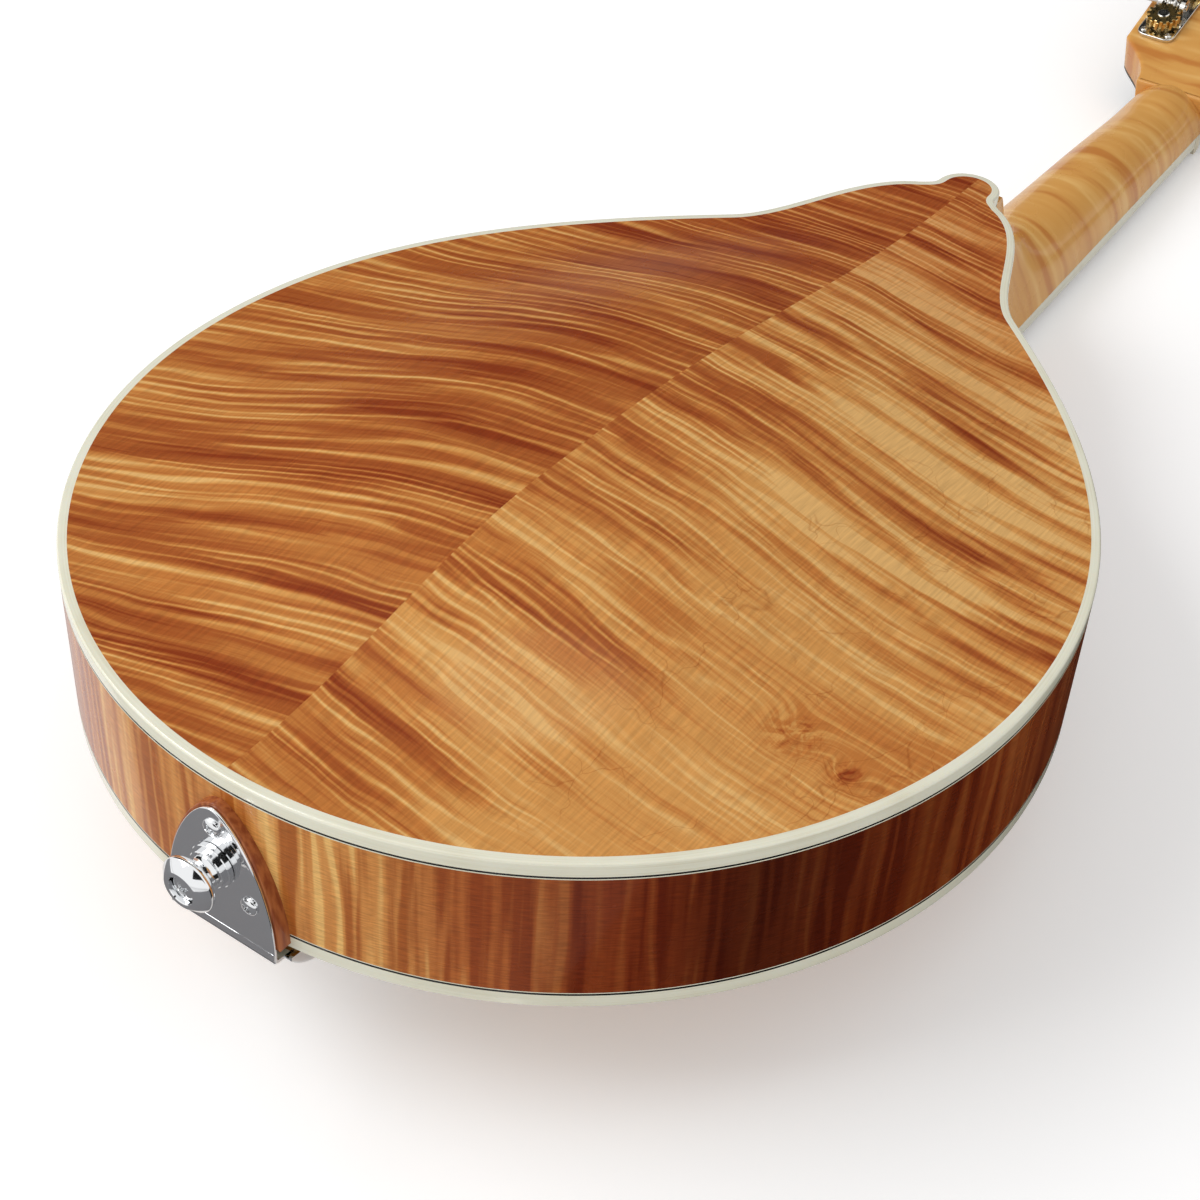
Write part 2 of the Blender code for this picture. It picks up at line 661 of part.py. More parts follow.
def build_neck():
    """Heel, shaft and headstock in one piece of maple, grooved for the truss rod."""
    face = FINGERBOARD_THICKNESS + GLUE_GAP
    full = BODY_DEPTH + FINGERBOARD_STAND
    heel_y = BODY_LENGTH + BUTTON_LENGTH - NUT_Y
    past_nut = NUT_THICKNESS + 2 * GLUE_GAP
    third_fret = -SCALE_LENGTH * (1 - 2 ** (-3 / 12))
    stations = [
        (BOARD_END_Y, full, 1.0),
        (heel_y - 0.004, full, 1.0),
        (heel_y + HEEL_LENGTH * 0.06, full * 0.80, 0.97),
        (heel_y + HEEL_LENGTH * 0.20, full * 0.60, 0.80),
        (heel_y + HEEL_LENGTH * 0.42, full * 0.455, 0.50),
        (heel_y + HEEL_LENGTH * 0.70, full * 0.375, 0.20),
        (heel_y + HEEL_LENGTH, NECK_DEPTH_AT_HEEL, 0.0),
        (third_fret, NECK_DEPTH_AT_THIRD_FRET, 0.0),
        (third_fret * 0.4, NECK_DEPTH_AT_NUT * 1.06, 0.0),
        (past_nut - 0.0006, NECK_DEPTH_AT_NUT, 0.0),
    ]
    sections = [neck_section(y, face, depth, heel, board_half_width(y)) for y, depth, heel in stations]
    for past, depth in ((0.0004, 0.95), (0.007, 0.74), (0.013, 0.40)):
        sections.append(neck_section(past_nut + past, face + 0.0005 + past * tan(HEAD_ANGLE),
                                     NECK_DEPTH_AT_NUT * depth, 0.0, NUT_WIDTH / 2 * (0.98 - past * 20)))
    neck = loft("neck", sections, NECK_MAPLE, NECK)
    head = flat_piece("headstock_blank", [head_outline()], HEAD_THICKNESS, None,
                      HEAD @ Matrix.Translation((0, 0, HEAD_THICKNESS / 2 + GLUE_GAP)), cutter=True)
    cap_z = BODY_DEPTH - BACK_THICKNESS - GLUE_GAP
    above_heel = block("heel_cap_cutter", (0.2, 0.2, 0.1), (0, BODY_LENGTH, cap_z + 0.05), None, cutter=True)
    rod_y = truss_groove_start()
    groove_depth = TRUSS_ROD_DEPTH + TRUSS_ROD_DIAMETER / 2 + GLUE_GAP
    groove = block("truss_rod_groove", (TRUSS_ROD_DIAMETER + 2 * GLUE_GAP, past_nut - rod_y + 0.002,
                                        groove_depth + 0.001),
                   (0, (past_nut + rod_y) / 2, face + (groove_depth - 0.001) / 2), None, NECK, cutter=True)
    pocket_start = past_nut - 0.0005
    pocket = block("truss_rod_pocket", (TRUSS_POCKET_WIDTH, TRUSS_POCKET_LENGTH, TRUSS_POCKET_DEPTH + 0.004),
                   (0, pocket_start + TRUSS_POCKET_LENGTH / 2, face + (TRUSS_POCKET_DEPTH - 0.004) / 2),
                   None, NECK, cutter=True)
    fuse(neck, head)
    cut(neck, body_space(), above_heel, groove, pocket, *post_hole_cutters())
    return pocket


def head_outline():
    """The headstock seen from the front: it flares from the nut and ends in a plain rounded crown."""
    half = bezier((NUT_WIDTH / 2, 0), (NUT_WIDTH / 2 + 0.0005, HEAD_FLARE * 0.55),
                  (HEAD_WAIST - 0.0045, HEAD_FLARE * 0.72), (HEAD_WAIST, HEAD_FLARE), 6)
    side_end = HEAD_LENGTH - HEAD_CROWN
    half += [(HEAD_WAIST, HEAD_FLARE)]
    half += bezier((HEAD_HALF_WIDTH, side_end), (HEAD_HALF_WIDTH + 0.001, side_end + HEAD_CROWN * 0.7),
                   (HEAD_HALF_WIDTH * 0.6, HEAD_LENGTH), (0, HEAD_LENGTH), 8)
    return mirrored(half + [(0, HEAD_LENGTH)])


def post_places():
    """The eight string posts in the headstock's frame, from the nut, bass side first."""
    for side, label in ((1, "bass"), (-1, "treble")):
        for number in range(4):
            yield side, f"{label}_{number + 1}", side * POST_HALF_SPACING, FIRST_POST + number * POST_STEP


def post_hole_cutters():
    radius = POST_DIAMETER / 2 + RUNNING_GAP
    return [
        rod("post_hole_" + label, radius, -0.02, 0.04, None, HEAD @ Matrix.Translation((x, y, 0)), 8, cutter=True)
        for _, label, x, y in post_places()
    ]


def build_veneer(pocket):
    """The headstock's black face veneer, its window over the truss rod nut, and the cover there."""
    veneer = flat_piece("headstock_veneer", [head_outline()], VENEER_THICKNESS, EBONY,
                        HEAD @ Matrix.Translation((0, 0, -VENEER_THICKNESS / 2)))
    window_length = TRUSS_POCKET_LENGTH + 0.006
    window = block("veneer_window", (TRUSS_POCKET_WIDTH, 2 * window_length, 0.01), (0, 0, 0), None, HEAD,
                   cutter=True)
    cut(veneer, window, *(bpy.data.objects["post_hole_" + label] for _, label, _, _ in post_places()))
    half = TRUSS_COVER_WIDTH / 2
    bell = [(half, 0)]
    bell += bezier((half, TRUSS_COVER_LENGTH * 0.25), (half, TRUSS_COVER_LENGTH * 0.6),
                   (half * 0.45, TRUSS_COVER_LENGTH), (0, TRUSS_COVER_LENGTH), 6)
    flat_piece("truss_rod_cover", [mirrored(bell + [(0, TRUSS_COVER_LENGTH)])], TRUSS_COVER_THICKNESS, EBONY,
               HEAD @ Matrix.Translation((0, 0.001, -VENEER_THICKNESS - GLUE_GAP - TRUSS_COVER_THICKNESS / 2)))


def truss_groove_start():
    return BODY_LENGTH + BUTTON_LENGTH - NUT_Y - TRUSS_ROD_INTO_HEEL


def build_truss_rod():
    axis = FINGERBOARD_THICKNESS + GLUE_GAP + TRUSS_ROD_DEPTH
    along = NECK @ Matrix.Translation((0, 0, axis)) @ Matrix.Rotation(-pi / 2, 4, "X")
    start = NUT_THICKNESS + 2 * GLUE_GAP + 0.0006
    rod("truss_rod", TRUSS_ROD_DIAMETER / 2, truss_groove_start() + TRUSS_ROD_END_GAP, start - GLUE_GAP,
        STEEL, along, 10)
    turned("truss_rod_nut",
           [(0, TRUSS_NUT_LENGTH * 0.4), (TRUSS_NUT_DIAMETER * 0.26, TRUSS_NUT_LENGTH * 0.4),
            (TRUSS_NUT_DIAMETER * 0.26, TRUSS_NUT_LENGTH), (TRUSS_NUT_DIAMETER / 2, TRUSS_NUT_LENGTH),
            (TRUSS_NUT_DIAMETER / 2, 0), (0, 0)],
           BRASS, along @ Matrix.Translation((0, 0, start)), 12)


def fret_places():
    return [-SCALE_LENGTH * (1 - 2 ** (-n / 12)) for n in range(1, FRETS + 1)]


def build_fingerboard():
    """The ebony board with its frets: a side profile with a bump for each fret, tapered in width."""
    start = -GLUE_GAP
    profile = [(start, FINGERBOARD_THICKNESS), (start, 0)]
    for y in fret_places():
        profile += [(y + FRET_WIDTH / 2, 0), (y + FRET_WIDTH / 4, -FRET_HEIGHT),
                    (y - FRET_WIDTH / 4, -FRET_HEIGHT), (y - FRET_WIDTH / 2, 0)]
    end = BOARD_END_Y + FINGERBOARD_BINDING + GLUE_GAP
    profile += [(end, 0), (end, FINGERBOARD_THICKNESS)]
    side = FINGERBOARD_BINDING + GLUE_GAP
    sections = [[(sign * (board_half_width(y) - side), y, z) for y, z in profile] for sign in (1, -1)]
    loft("fingerboard", sections, EBONY, NECK)
    outer = [(board_half_width(y), y) for y in (start, BOARD_END_Y)]
    inner = [(board_half_width(y) - FINGERBOARD_BINDING, y) for y in (start, BOARD_END_Y + FINGERBOARD_BINDING)]
    right = [inner[0], outer[0], outer[1]]
    left = [(-x, y) for x, y in reversed(right)]
    outline = right + left + [(-inner[1][0], inner[1][1]), inner[1]]
    flat_piece("fingerboard_binding", [outline], FINGERBOARD_THICKNESS, IVOROID,
               NECK @ Matrix.Translation((0, 0, FINGERBOARD_THICKNESS / 2)))


# Strings: course and place of each, then what carries them


def string_places():
    """Each string's name, course, and x at the tailpiece, saddle and nut, from the bass side."""
    for number in range(8):
        course, second = divmod(number, 2)
        pair = 0.5 - second
        step = 1.5 - course
        yield (
            f"string_{'gdae'[course]}_{second + 1}",
            course,
            (3.5 - number) * HOOK_SPACING,
            step * BRIDGE_COURSE_SPREAD / 3 + pair * BRIDGE_PAIR_SPACING,
            step * NUT_COURSE_SPREAD / 3 + pair * NUT_PAIR_SPACING,
        )


def build_nut():
    """The bone nut, slotted for eight strings."""
    height = NUT_STRING_HEIGHT + 0.0009
    low, high = GLUE_GAP, NUT_THICKNESS + GLUE_GAP
    profile = [(low, FINGERBOARD_THICKNESS), (low, -height), (low + NUT_THICKNESS * 0.55, -height),
               (high, -height * 0.45), (high, FINGERBOARD_THICKNESS)]
    sections = [[(sign * NUT_WIDTH / 2, y, z) for y, z in profile] for sign in (1, -1)]
    nut = loft("nut", sections, BONE, NECK)
    for name, course, _, _, x in string_places():
        diameter = STRING_DIAMETERS[course]
        floor = -NUT_STRING_HEIGHT + diameter / 2 + GLUE_GAP
        slot = block(name + "_nut_slot", (diameter + 2 * GLUE_GAP, 0.012, 0.006), (x, low, floor - 0.003), None,
                     NECK, cutter=True)
        slope = block(name + "_nut_ramp", (diameter + 4 * GLUE_GAP, 0.012, 0.006), (0, 0.006, -0.003), None,
                      NECK @ Matrix.Translation((x, low + NUT_THICKNESS * 0.4, floor))
                      @ Matrix.Rotation(HEAD_ANGLE, 4, "X"), cutter=True)
        cut(nut, slot, slope)


def build_strings():
    """Each string from its hook over the saddle and nut to the side of its post."""
    posts = {label: (x, y) for _, label, x, y in post_places()}
    order = ["bass_1", "bass_2", "bass_3", "bass_4", "treble_4", "treble_3", "treble_2", "treble_1"]
    for (name, course, tail_x, saddle_x, nut_x), post in zip(string_places(), order):
        diameter = STRING_DIAMETERS[course]
        axis_z = SADDLE_CREST_Z - STRING_PROUD + diameter / 2
        hook = Vector((tail_x, HOOK_Y + 0.002, hook_string_z()))
        saddle = Vector((saddle_x, BRIDGE_Y + COMPENSATION[course], axis_z))
        nut_in = NECK @ Vector((nut_x, 0, -NUT_STRING_HEIGHT))
        nut_out = NECK @ Vector((nut_x, NUT_THICKNESS * 0.4, -NUT_STRING_HEIGHT))
        x, y = posts[post]
        side = 1 if x > 0 else -1
        clear = POST_DIAMETER / 2 + GLUE_GAP + diameter / 2
        end = HEAD @ Vector((x - side * clear, y, -STRING_HOLE_STAND))
        rise = (saddle - hook).normalized() * 0.003
        points = [hook, saddle - rise, saddle, saddle + (nut_in - saddle).normalized() * 0.003,
                  nut_in, nut_out, end]
        tube(name, points, diameter / 2, BRONZE if diameter > 0.0005 else STEEL)


# Bridge


def bridge_foot_top_z():
    return -TOP_RISE - GLUE_GAP - BRIDGE_FOOT_DEPTH


def saddle_underside_z():
    """The wheels hang clear of the foot by as much as the saddle can be lowered."""
    return bridge_foot_top_z() - SADDLE_LOWERING - THUMBWHEEL_THICKNESS - 2 * GLUE_GAP


def build_bridge():
    """The foot fitted to the top, two threaded posts, their thumbwheels and the saddle on them."""
    x = np.linspace(-1, 1, 15) * BRIDGE_LENGTH / 2
    half = BRIDGE_FOOT_WIDTH / 2
    highest = np.maximum(arch(x, BRIDGE_Y - half, TOP_RISE), arch(x, BRIDGE_Y + half, TOP_RISE))
    seat = -highest - GLUE_GAP
    end = BRIDGE_LENGTH / 2
    flat_half = BRIDGE_POST_SPACING / 2 + THUMBWHEEL_DIAMETER / 2 + THUMBWHEEL_MARGIN
    front = bridge_foot_top_z()
    upper = [(end, seat[-1] - BRIDGE_TIP_DEPTH), ((end + flat_half) / 2, seat[-2] - BRIDGE_TIP_DEPTH * 1.3),
             (flat_half, front), (-flat_half, front),
             (-(end + flat_half) / 2, seat[1] - BRIDGE_TIP_DEPTH * 1.3), (-end, seat[0] - BRIDGE_TIP_DEPTH)]
    foot = flat_piece("bridge_foot", [np.concatenate([np.column_stack([x, seat]), upper])], BRIDGE_FOOT_WIDTH,
                      EBONY, Matrix.Translation((0, BRIDGE_Y, 0)) @ FACING_TAIL)
    saddle = build_saddle()
    under = saddle_underside_z()
    for side, label in ((1, "bass"), (-1, "treble")):
        at = Matrix.Translation((side * BRIDGE_POST_SPACING / 2, BRIDGE_Y, 0))
        low, high = under - BRIDGE_POST_IN_SADDLE, front + BRIDGE_POST_IN_FOOT
        rod("bridge_post_" + label, BRIDGE_POST_DIAMETER / 2, low, high, STEEL, at, 10)
        bore = BRIDGE_POST_DIAMETER / 2 + RUNNING_GAP
        cut(foot, rod("foot_bore_" + label, bore, front - 0.002, high + GLUE_GAP, None, at, 10, cutter=True))
        deepest = low - SADDLE_LOWERING - RUNNING_GAP
        cut(saddle, rod("saddle_bore_" + label, bore, deepest, under + 0.002, None, at, 10, cutter=True))
        rim = THUMBWHEEL_DIAMETER / 2
        turn = np.arange(2 * THUMBWHEEL_NOTCHES) * pi / THUMBWHEEL_NOTCHES
        radius = rim - THUMBWHEEL_NOTCH_DEPTH * (np.arange(2 * THUMBWHEEL_NOTCHES) % 2)
        knurl = np.column_stack([radius * np.cos(turn), radius * np.sin(turn)])
        flat_piece("thumbwheel_" + label, [knurl, circle(bore, 10)], THUMBWHEEL_THICKNESS, BRASS,
                   at @ Matrix.Translation((0, 0, under + GLUE_GAP + THUMBWHEEL_THICKNESS / 2)))


def build_saddle():
    """The saddle: a bar with its lower edge relieved, and a crest stepped for each course."""
    under, crest = saddle_underside_z(), SADDLE_CREST_Z
    end = SADDLE_LENGTH / 2
    step = crest + SADDLE_CREST_DEPTH
    relief = BRIDGE_POST_SPACING / 2 - THUMBWHEEL_DIAMETER / 2
    outline = [(end, under), (end, under - 0.0015), (end - 0.008, step), (-end + 0.008, step),
               (-end, under - 0.0015), (-end, under), (-relief, under), (-relief + 0.003, under - 0.0012),
               (relief - 0.003, under - 0.0012), (relief, under)]
    saddle = flat_piece("bridge_saddle", [outline], SADDLE_WIDTH, EBONY,
                        Matrix.Translation((0, BRIDGE_Y, 0)) @ FACING_TAIL)
    wide = BRIDGE_COURSE_SPREAD / 3
    for course, shift in enumerate(COMPENSATION):
        crest_block = block(f"saddle_crest_{course + 1}", (wide - 0.0002, SADDLE_CREST_WIDTH, SADDLE_CREST_DEPTH + 0.001),
                            ((1.5 - course) * wide, BRIDGE_Y + shift, (crest + step + 0.001) / 2), None, cutter=True)
        fuse(saddle, crest_block)
    for name, course, _, saddle_x, _ in string_places():
        diameter = STRING_DIAMETERS[course]
        floor = crest - STRING_PROUD + diameter + GLUE_GAP
        notch = block(name + "_saddle_notch", (diameter + 2 * GLUE_GAP, 0.012, 0.006),
                      (saddle_x, BRIDGE_Y, floor - 0.003), None, cutter=True)
        cut(saddle, notch)
    return saddle


# Tailpiece and strap button


def leg_z(y):
    """Inner face of the tailpiece's leg over the front edge."""
    return TAIL_PLATE_BEND - TAIL_LEG_SLOPE * (y + TAIL_PLATE_OUT)


def hook_string_z():
    return leg_z(HOOK_Y) - TAIL_PLATE_THICKNESS - HOOK_HEIGHT * 0.6


def tail_outline(margin, bottom):
    """The plate's pointed outline, grown by a margin and cut square at the bottom."""
    wide = TAIL_PLATE_HALF_WIDTH + margin
    tip = TAIL_PLATE_TOP + margin
    half = [(wide, bottom)]
    half += bezier((wide, TAIL_PLATE_WIDE_AT), (wide * 0.985, TAIL_PLATE_TOP * 0.56),
                   (wide * 0.35, tip), (0, tip), 9)
    return mirrored(half + [(0, tip)])


def screw_places():
    return [(f"tail_screw_{number + 1}", x, z) for number, (x, z) in enumerate(TAIL_SCREWS)]


def build_tailpiece(rim, tail_block):
    """The plate on the tail, bent over the front edge, with its shim, screws, hooks and cover."""
    outer = -TAIL_PLATE_OUT - TAIL_PLATE_THICKNESS
    corner = TAIL_PLATE_BEND - TAIL_PLATE_THICKNESS
    base = flat_piece("tailpiece_base", [tail_outline(0, corner + TAIL_PLATE_THICKNESS * 0.4)],
                      TAIL_PLATE_THICKNESS, CHROME,
                      Matrix.Translation((0, outer + TAIL_PLATE_THICKNESS / 2, 0)) @ FACING_TAIL)
    end = TAIL_LEG_LENGTH
    profile = [(outer + 0.00004, 0), (outer + 0.00004, corner + 0.0006), (outer + 0.0006, corner),
               (end, leg_z(end) - TAIL_PLATE_THICKNESS), (end, leg_z(end)),
               (-TAIL_PLATE_OUT - 0.00004, TAIL_PLATE_BEND), (-TAIL_PLATE_OUT - 0.00004, 0)]
    sides = [(TAIL_PLATE_HALF_WIDTH - 0.00006) * sign for sign in (-1, 1)]
    leg = loft("tailpiece_leg", [[(x, y, z) for y, z in profile] for x in sides], None, cutter=True)
    hooks = build_hooks()
    fuse(base, leg, hooks)
    shim_out = -TAIL_PLATE_OUT + GLUE_GAP
    shim_in = 0.004
    shim = flat_piece("tailpiece_shim", [tail_outline(SHIM_MARGIN, 0.0018)], shim_in - shim_out, SHIM_WOOD,
                      Matrix.Translation((0, (shim_in + shim_out) / 2, 0)) @ FACING_TAIL)
    tail_space = flat_piece("tail_space", [inset(OUTLINE, -GLUE_GAP)], 4 * BODY_DEPTH, None, cutter=True)
    cut(shim, tail_space)
    holes = [(name, x, z, SCREW_SHANK) for name, x, z in screw_places()]
    holes.append(("strap_button_screw", 0, STRAP_BUTTON_Z, SCREW_SHANK * 1.25))
    for name, x, z, radius in holes:
        bore = rod(name + "_bore", radius + GLUE_GAP, -0.03, 0.01, None,
                   Matrix.Translation((x, 0, z)) @ FACING_TAIL, 8, cutter=True)
        cut(base, bore)
        cut(shim, bore)
        cut(rim, bore)
        cut(tail_block, bore)
    for name, x, z in screw_places():
        turned(name, screw_profile(0.0024, 0.0011, 0, SCREW_SHANK, TAIL_SCREW_LENGTH), CHROME,
               Matrix.Translation((x, outer - GLUE_GAP, z)) @ FACING_TAIL, 8)
    build_cover()


def screw_profile(head, crown, sink, shank, length):
    """A domed head over z = 0 and a shank below, which is countersunk by sink."""
    return [(0, crown), (head * 0.6, crown * 0.8), (head, 0), (shank, -sink), (shank, -length + shank),
            (0, -length)]


def build_hooks():
    """Eight hooks that stand on the leg and lean towards the tail."""
    work = bmesh.new()
    for number in range(8):
        x = (3.5 - number) * HOOK_SPACING
        foot = leg_z(HOOK_Y) - TAIL_PLATE_THICKNESS * 0.5
        bmesh.ops.create_cube(
            work, size=1,
            matrix=Matrix.Translation((x, HOOK_Y - 0.0006, foot - HOOK_HEIGHT / 2))
            @ Matrix.Rotation(radians(-14), 4, "X")
            @ Matrix.Diagonal((HOOK_WIDTH, TAIL_PLATE_THICKNESS, HOOK_HEIGHT, 1)))
    mesh = bpy.data.meshes.new("tailpiece_hooks")
    work.to_mesh(mesh)
    work.free()
    return place("tailpiece_hooks", mesh, None, cutter=True)


def build_cover():
    """The stamped cover: a sheet arched over hooks and strings, open below and towards the bridge."""
    length = COVER_LENGTH
    share = np.array([0.007, 0.04, 0.11, 0.22, 0.42, 0.70, 1.0])
    y = share * length
    lower = -0.0022 - 0.12 * y
    upper = -0.0115 - 0.102 * y + 0.0085 * np.exp(-y / 0.0045)
    half = TAIL_PLATE_HALF_WIDTH + 2 * GLUE_GAP + COVER_THICKNESS - 0.0012 * np.clip((share - 0.38) / 0.62, 0, 1)
    rows = []
    for at, low, high, wide in zip(y, lower, upper, half):
        section = [(1, 0), (1.0, 0.45), (0.95, 0.78), (0.80, 0.95), (0.45, 1.0), (0, 1.02)]
        right = [(wide * a, at, low + (high - low) * b) for a, b in section]
        rows.append(right + [(-a, b, c) for a, b, c in right[-2::-1]])
    around = len(rows[0])
    faces = [
        (i * around + j, i * around + j + 1, (i + 1) * around + j + 1, (i + 1) * around + j)
        for i in range(len(rows) - 1)
        for j in range(around - 1)
    ]
    sheet = place("tailpiece_cover", mesh_of("tailpiece_cover", np.array(rows).reshape(-1, 3), faces), CHROME)
    thicken(sheet, COVER_THICKNESS)


def build_strap_button():
    """The turned button and the screw that holds it, both on the tail plate."""
    face = TAIL_PLATE_OUT + TAIL_PLATE_THICKNESS + GLUE_GAP
    at = Matrix.Translation((0, -face, STRAP_BUTTON_Z)) @ FACING_TAIL
    end, wide, waist = STRAP_BUTTON_LENGTH, STRAP_BUTTON_RADIUS, STRAP_BUTTON_NECK
    recess = STRAP_SCREW_HEAD + GLUE_GAP
    bore = SCREW_SHANK * 1.25 + GLUE_GAP
    head_depth = 0.0020
    turned("strap_button",
           [(STRAP_BUTTON_END, end), (wide, end - 0.0022), (wide, end - 0.0031), (waist, end - 0.0050),
            (waist, 0.0030), (waist + 0.0011, 0.0030), (waist + 0.0011, 0.0016), (waist + 0.0019, 0.0016),
            (waist + 0.0019, 0), (bore, 0), (bore, end - head_depth - 0.0008), (recess, end - head_depth - 0.0008),
            (recess, end)],
           CHROME, at, 18, closed=True)
    screw = [(0, end - 0.0003), (STRAP_SCREW_HEAD * 0.7, end - 0.0005), (STRAP_SCREW_HEAD, end - 0.0012),
             (STRAP_SCREW_HEAD, end - head_depth - 0.0005), (SCREW_SHANK * 1.25, end - head_depth - 0.0005),
             (SCREW_SHANK * 1.25, end - STRAP_SCREW_LENGTH + 0.0015), (0, end - STRAP_SCREW_LENGTH)]
    turned("strap_button_screw", screw, CHROME, at, 10)


# Tuning machines


def gear_section(twist, z):
    """A ring round the gear, three points a tooth, with a tooth centred on +y before the twist."""
    points = []
    tip, root = GEAR_PITCH_RADIUS + GEAR_TIP, GEAR_PITCH_RADIUS - GEAR_ROOT
    step = 2 * pi / GEAR_TEETH
    for tooth in range(GEAR_TEETH):
        middle = pi / 2 + tooth * step + twist
        for radius, turn in ((root, -step / 2), (tip, -TOOTH_TIP_HALF_WIDTH / tip),
                             (tip, TOOTH_TIP_HALF_WIDTH / tip)):
            points.append((radius * cos(middle + turn), radius * sin(middle + turn), z))
    return points


def gear_level():
    """The middle plane of gears and worms, behind the headstock's front plane."""
    return HEAD_THICKNESS + 2 * GLUE_GAP + TUNER_PLATE_THICKNESS + RUNNING_GAP + WORM_RADIUS


def post_mesh():
    """A string post with its gear. The teeth lean by the worm's lead angle, and a hole takes the string."""
    level = gear_level()
    radius = POST_DIAMETER / 2
    waist = radius * 0.84
    back = level + GEAR_THICKNESS / 2 + 0.0006
    hole_z = -STRING_HOLE_STAND
    post = turned("post_pattern",
                  [(0, back), (radius, back), (radius, hole_z + 0.0030), (waist, hole_z + 0.0018),
                   (waist, hole_z - 0.0022), (radius, hole_z - 0.0034), (radius, -POST_STAND + 0.0012),
                   (radius * 0.66, -POST_STAND), (0, -POST_STAND)],
                  CHROME, sides=8)
    half = GEAR_THICKNESS / 2
    reach = WORM_CENTRE_DISTANCE - GEAR_PITCH_RADIUS
    lean = WORM_PITCH / (2 * pi) * half / reach / GEAR_PITCH_RADIUS
    gear = loft("gear_pattern", [gear_section(-lean, level - half), gear_section(lean, level + half)], None,
                cutter=True)
    eye = rod("string_eye", 0.0008, -0.01, 0.01, None, Matrix.Translation((0, 0, hole_z))
              @ Matrix.Rotation(pi / 2, 4, "Y"), 6, cutter=True)
    fuse(post, gear)
    cut(post, eye)
    return finished_mesh(post)


def knob_mesh():
    """Shaft, worm and button in one, turned about local x.

    The worm's radius is a wave that climbs one pitch a turn, right-handed, with a groove at x = 0
    on the side that faces the gear.
    """
    around = 8
    turn = np.arange(around) * 2 * pi / around
    middle, wave = (WORM_RADIUS + WORM_ROOT_RADIUS) / 2, (WORM_RADIUS - WORM_ROOT_RADIUS) / 2
    half = WORM_LENGTH / 2
    ear = half + RUNNING_GAP * 2 + EAR_THICKNESS

    def ring(x, radius_y, radius_z):
        return np.column_stack([np.full(around, x), radius_y * np.cos(turn), radius_z * np.sin(turn)])

    rings = [ring(-ear - 0.0006, KNOB_SHAFT_RADIUS, KNOB_SHAFT_RADIUS),
             ring(-half, KNOB_SHAFT_RADIUS, KNOB_SHAFT_RADIUS)]
    count = 4 * round(WORM_LENGTH / WORM_PITCH) + 1
    for x in np.linspace(-half, half, count):
        radius = middle - wave * np.cos(2 * pi * x / WORM_PITCH - (turn - pi))
        rings.append(ring(x, radius, radius))
    for x, wide, thick in ((half, None, None), (KNOB_START, None, None), (KNOB_START, 0.40, 0.80),
                           (KNOB_START + KNOB_LENGTH * 0.16, 0.62, 0.84),
                           (KNOB_START + KNOB_LENGTH * 0.50, 0.95, 0.98),
                           (KNOB_START + KNOB_LENGTH * 0.86, 0.96, 0.96),
                           (KNOB_START + KNOB_LENGTH, 0.60, 0.55)):
        if wide is None:
            rings.append(ring(x, KNOB_SHAFT_RADIUS, KNOB_SHAFT_RADIUS))
        else:
            rings.append(ring(x, KNOB_HALF_WIDTH * wide, KNOB_HALF_THICKNESS * thick))
    pattern = loft("knob_pattern", rings, PEARL)
    return finished_mesh(pattern)


def build_tuner_plate(side, label):
    """A strip for four machines, with a bent ear at each end of each worm."""
    back = HEAD_THICKNESS + 2 * GLUE_GAP
    first, last = FIRST_POST, FIRST_POST + 3 * POST_STEP
    middle = POST_HALF_SPACING
    half = TUNER_PLATE_WIDTH / 2
    low, high = first - TUNER_PLATE_END, last + WORM_CENTRE_DISTANCE + TUNER_PLATE_END
    clip = half * 0.5
    right = [(middle + half - clip, low), (middle + half, low + clip), (middle + half, high - clip),
             (middle + half - clip, high)]
    outline = right + [(2 * middle - x, y) for x, y in reversed(right)]
    radius = POST_DIAMETER / 2 + RUNNING_GAP
    holes = [circle(radius / cos(pi / 8), 8, (side * middle, first + n * POST_STEP)) for n in range(4)]
    outline = [(side * x, y) for x, y in outline]
    plate = flat_piece(f"tuner_plate_{label}", [outline, *holes], TUNER_PLATE_THICKNESS, CHROME,
                       HEAD @ Matrix.Translation((0, 0, back + TUNER_PLATE_THICKNESS / 2)))
    level = gear_level()
    top = level + KNOB_SHAFT_RADIUS + 0.0016
    foot = back + TUNER_PLATE_THICKNESS * 0.5
    offset = WORM_LENGTH / 2 + 2 * RUNNING_GAP + EAR_THICKNESS / 2
    ears = bmesh.new()
    for n in range(4):
        for end in (-1, 1):
            centre = (side * middle + end * offset, first + n * POST_STEP + WORM_CENTRE_DISTANCE, (top + foot) / 2)
            bmesh.ops.create_cube(ears, size=1, matrix=Matrix.Translation(centre)
                                  @ Matrix.Diagonal((EAR_THICKNESS, EAR_WIDTH, top - foot, 1)))
    mesh = bpy.data.meshes.new("ears_" + label)
    ears.to_mesh(mesh)
    ears.free()
    fuse(plate, place("ears_" + label, mesh, None, HEAD, cutter=True))
    for n in range(4):
        at = HEAD @ Matrix.Translation((side * middle, first + n * POST_STEP + WORM_CENTRE_DISTANCE, level))
        bore = rod(f"shaft_bore_{label}_{n + 1}", KNOB_SHAFT_RADIUS + RUNNING_GAP, -0.009, 0.009, None,
                   at @ Matrix.Rotation(pi / 2, 4, "Y"), 6, cutter=True)
        cut(plate, bore)


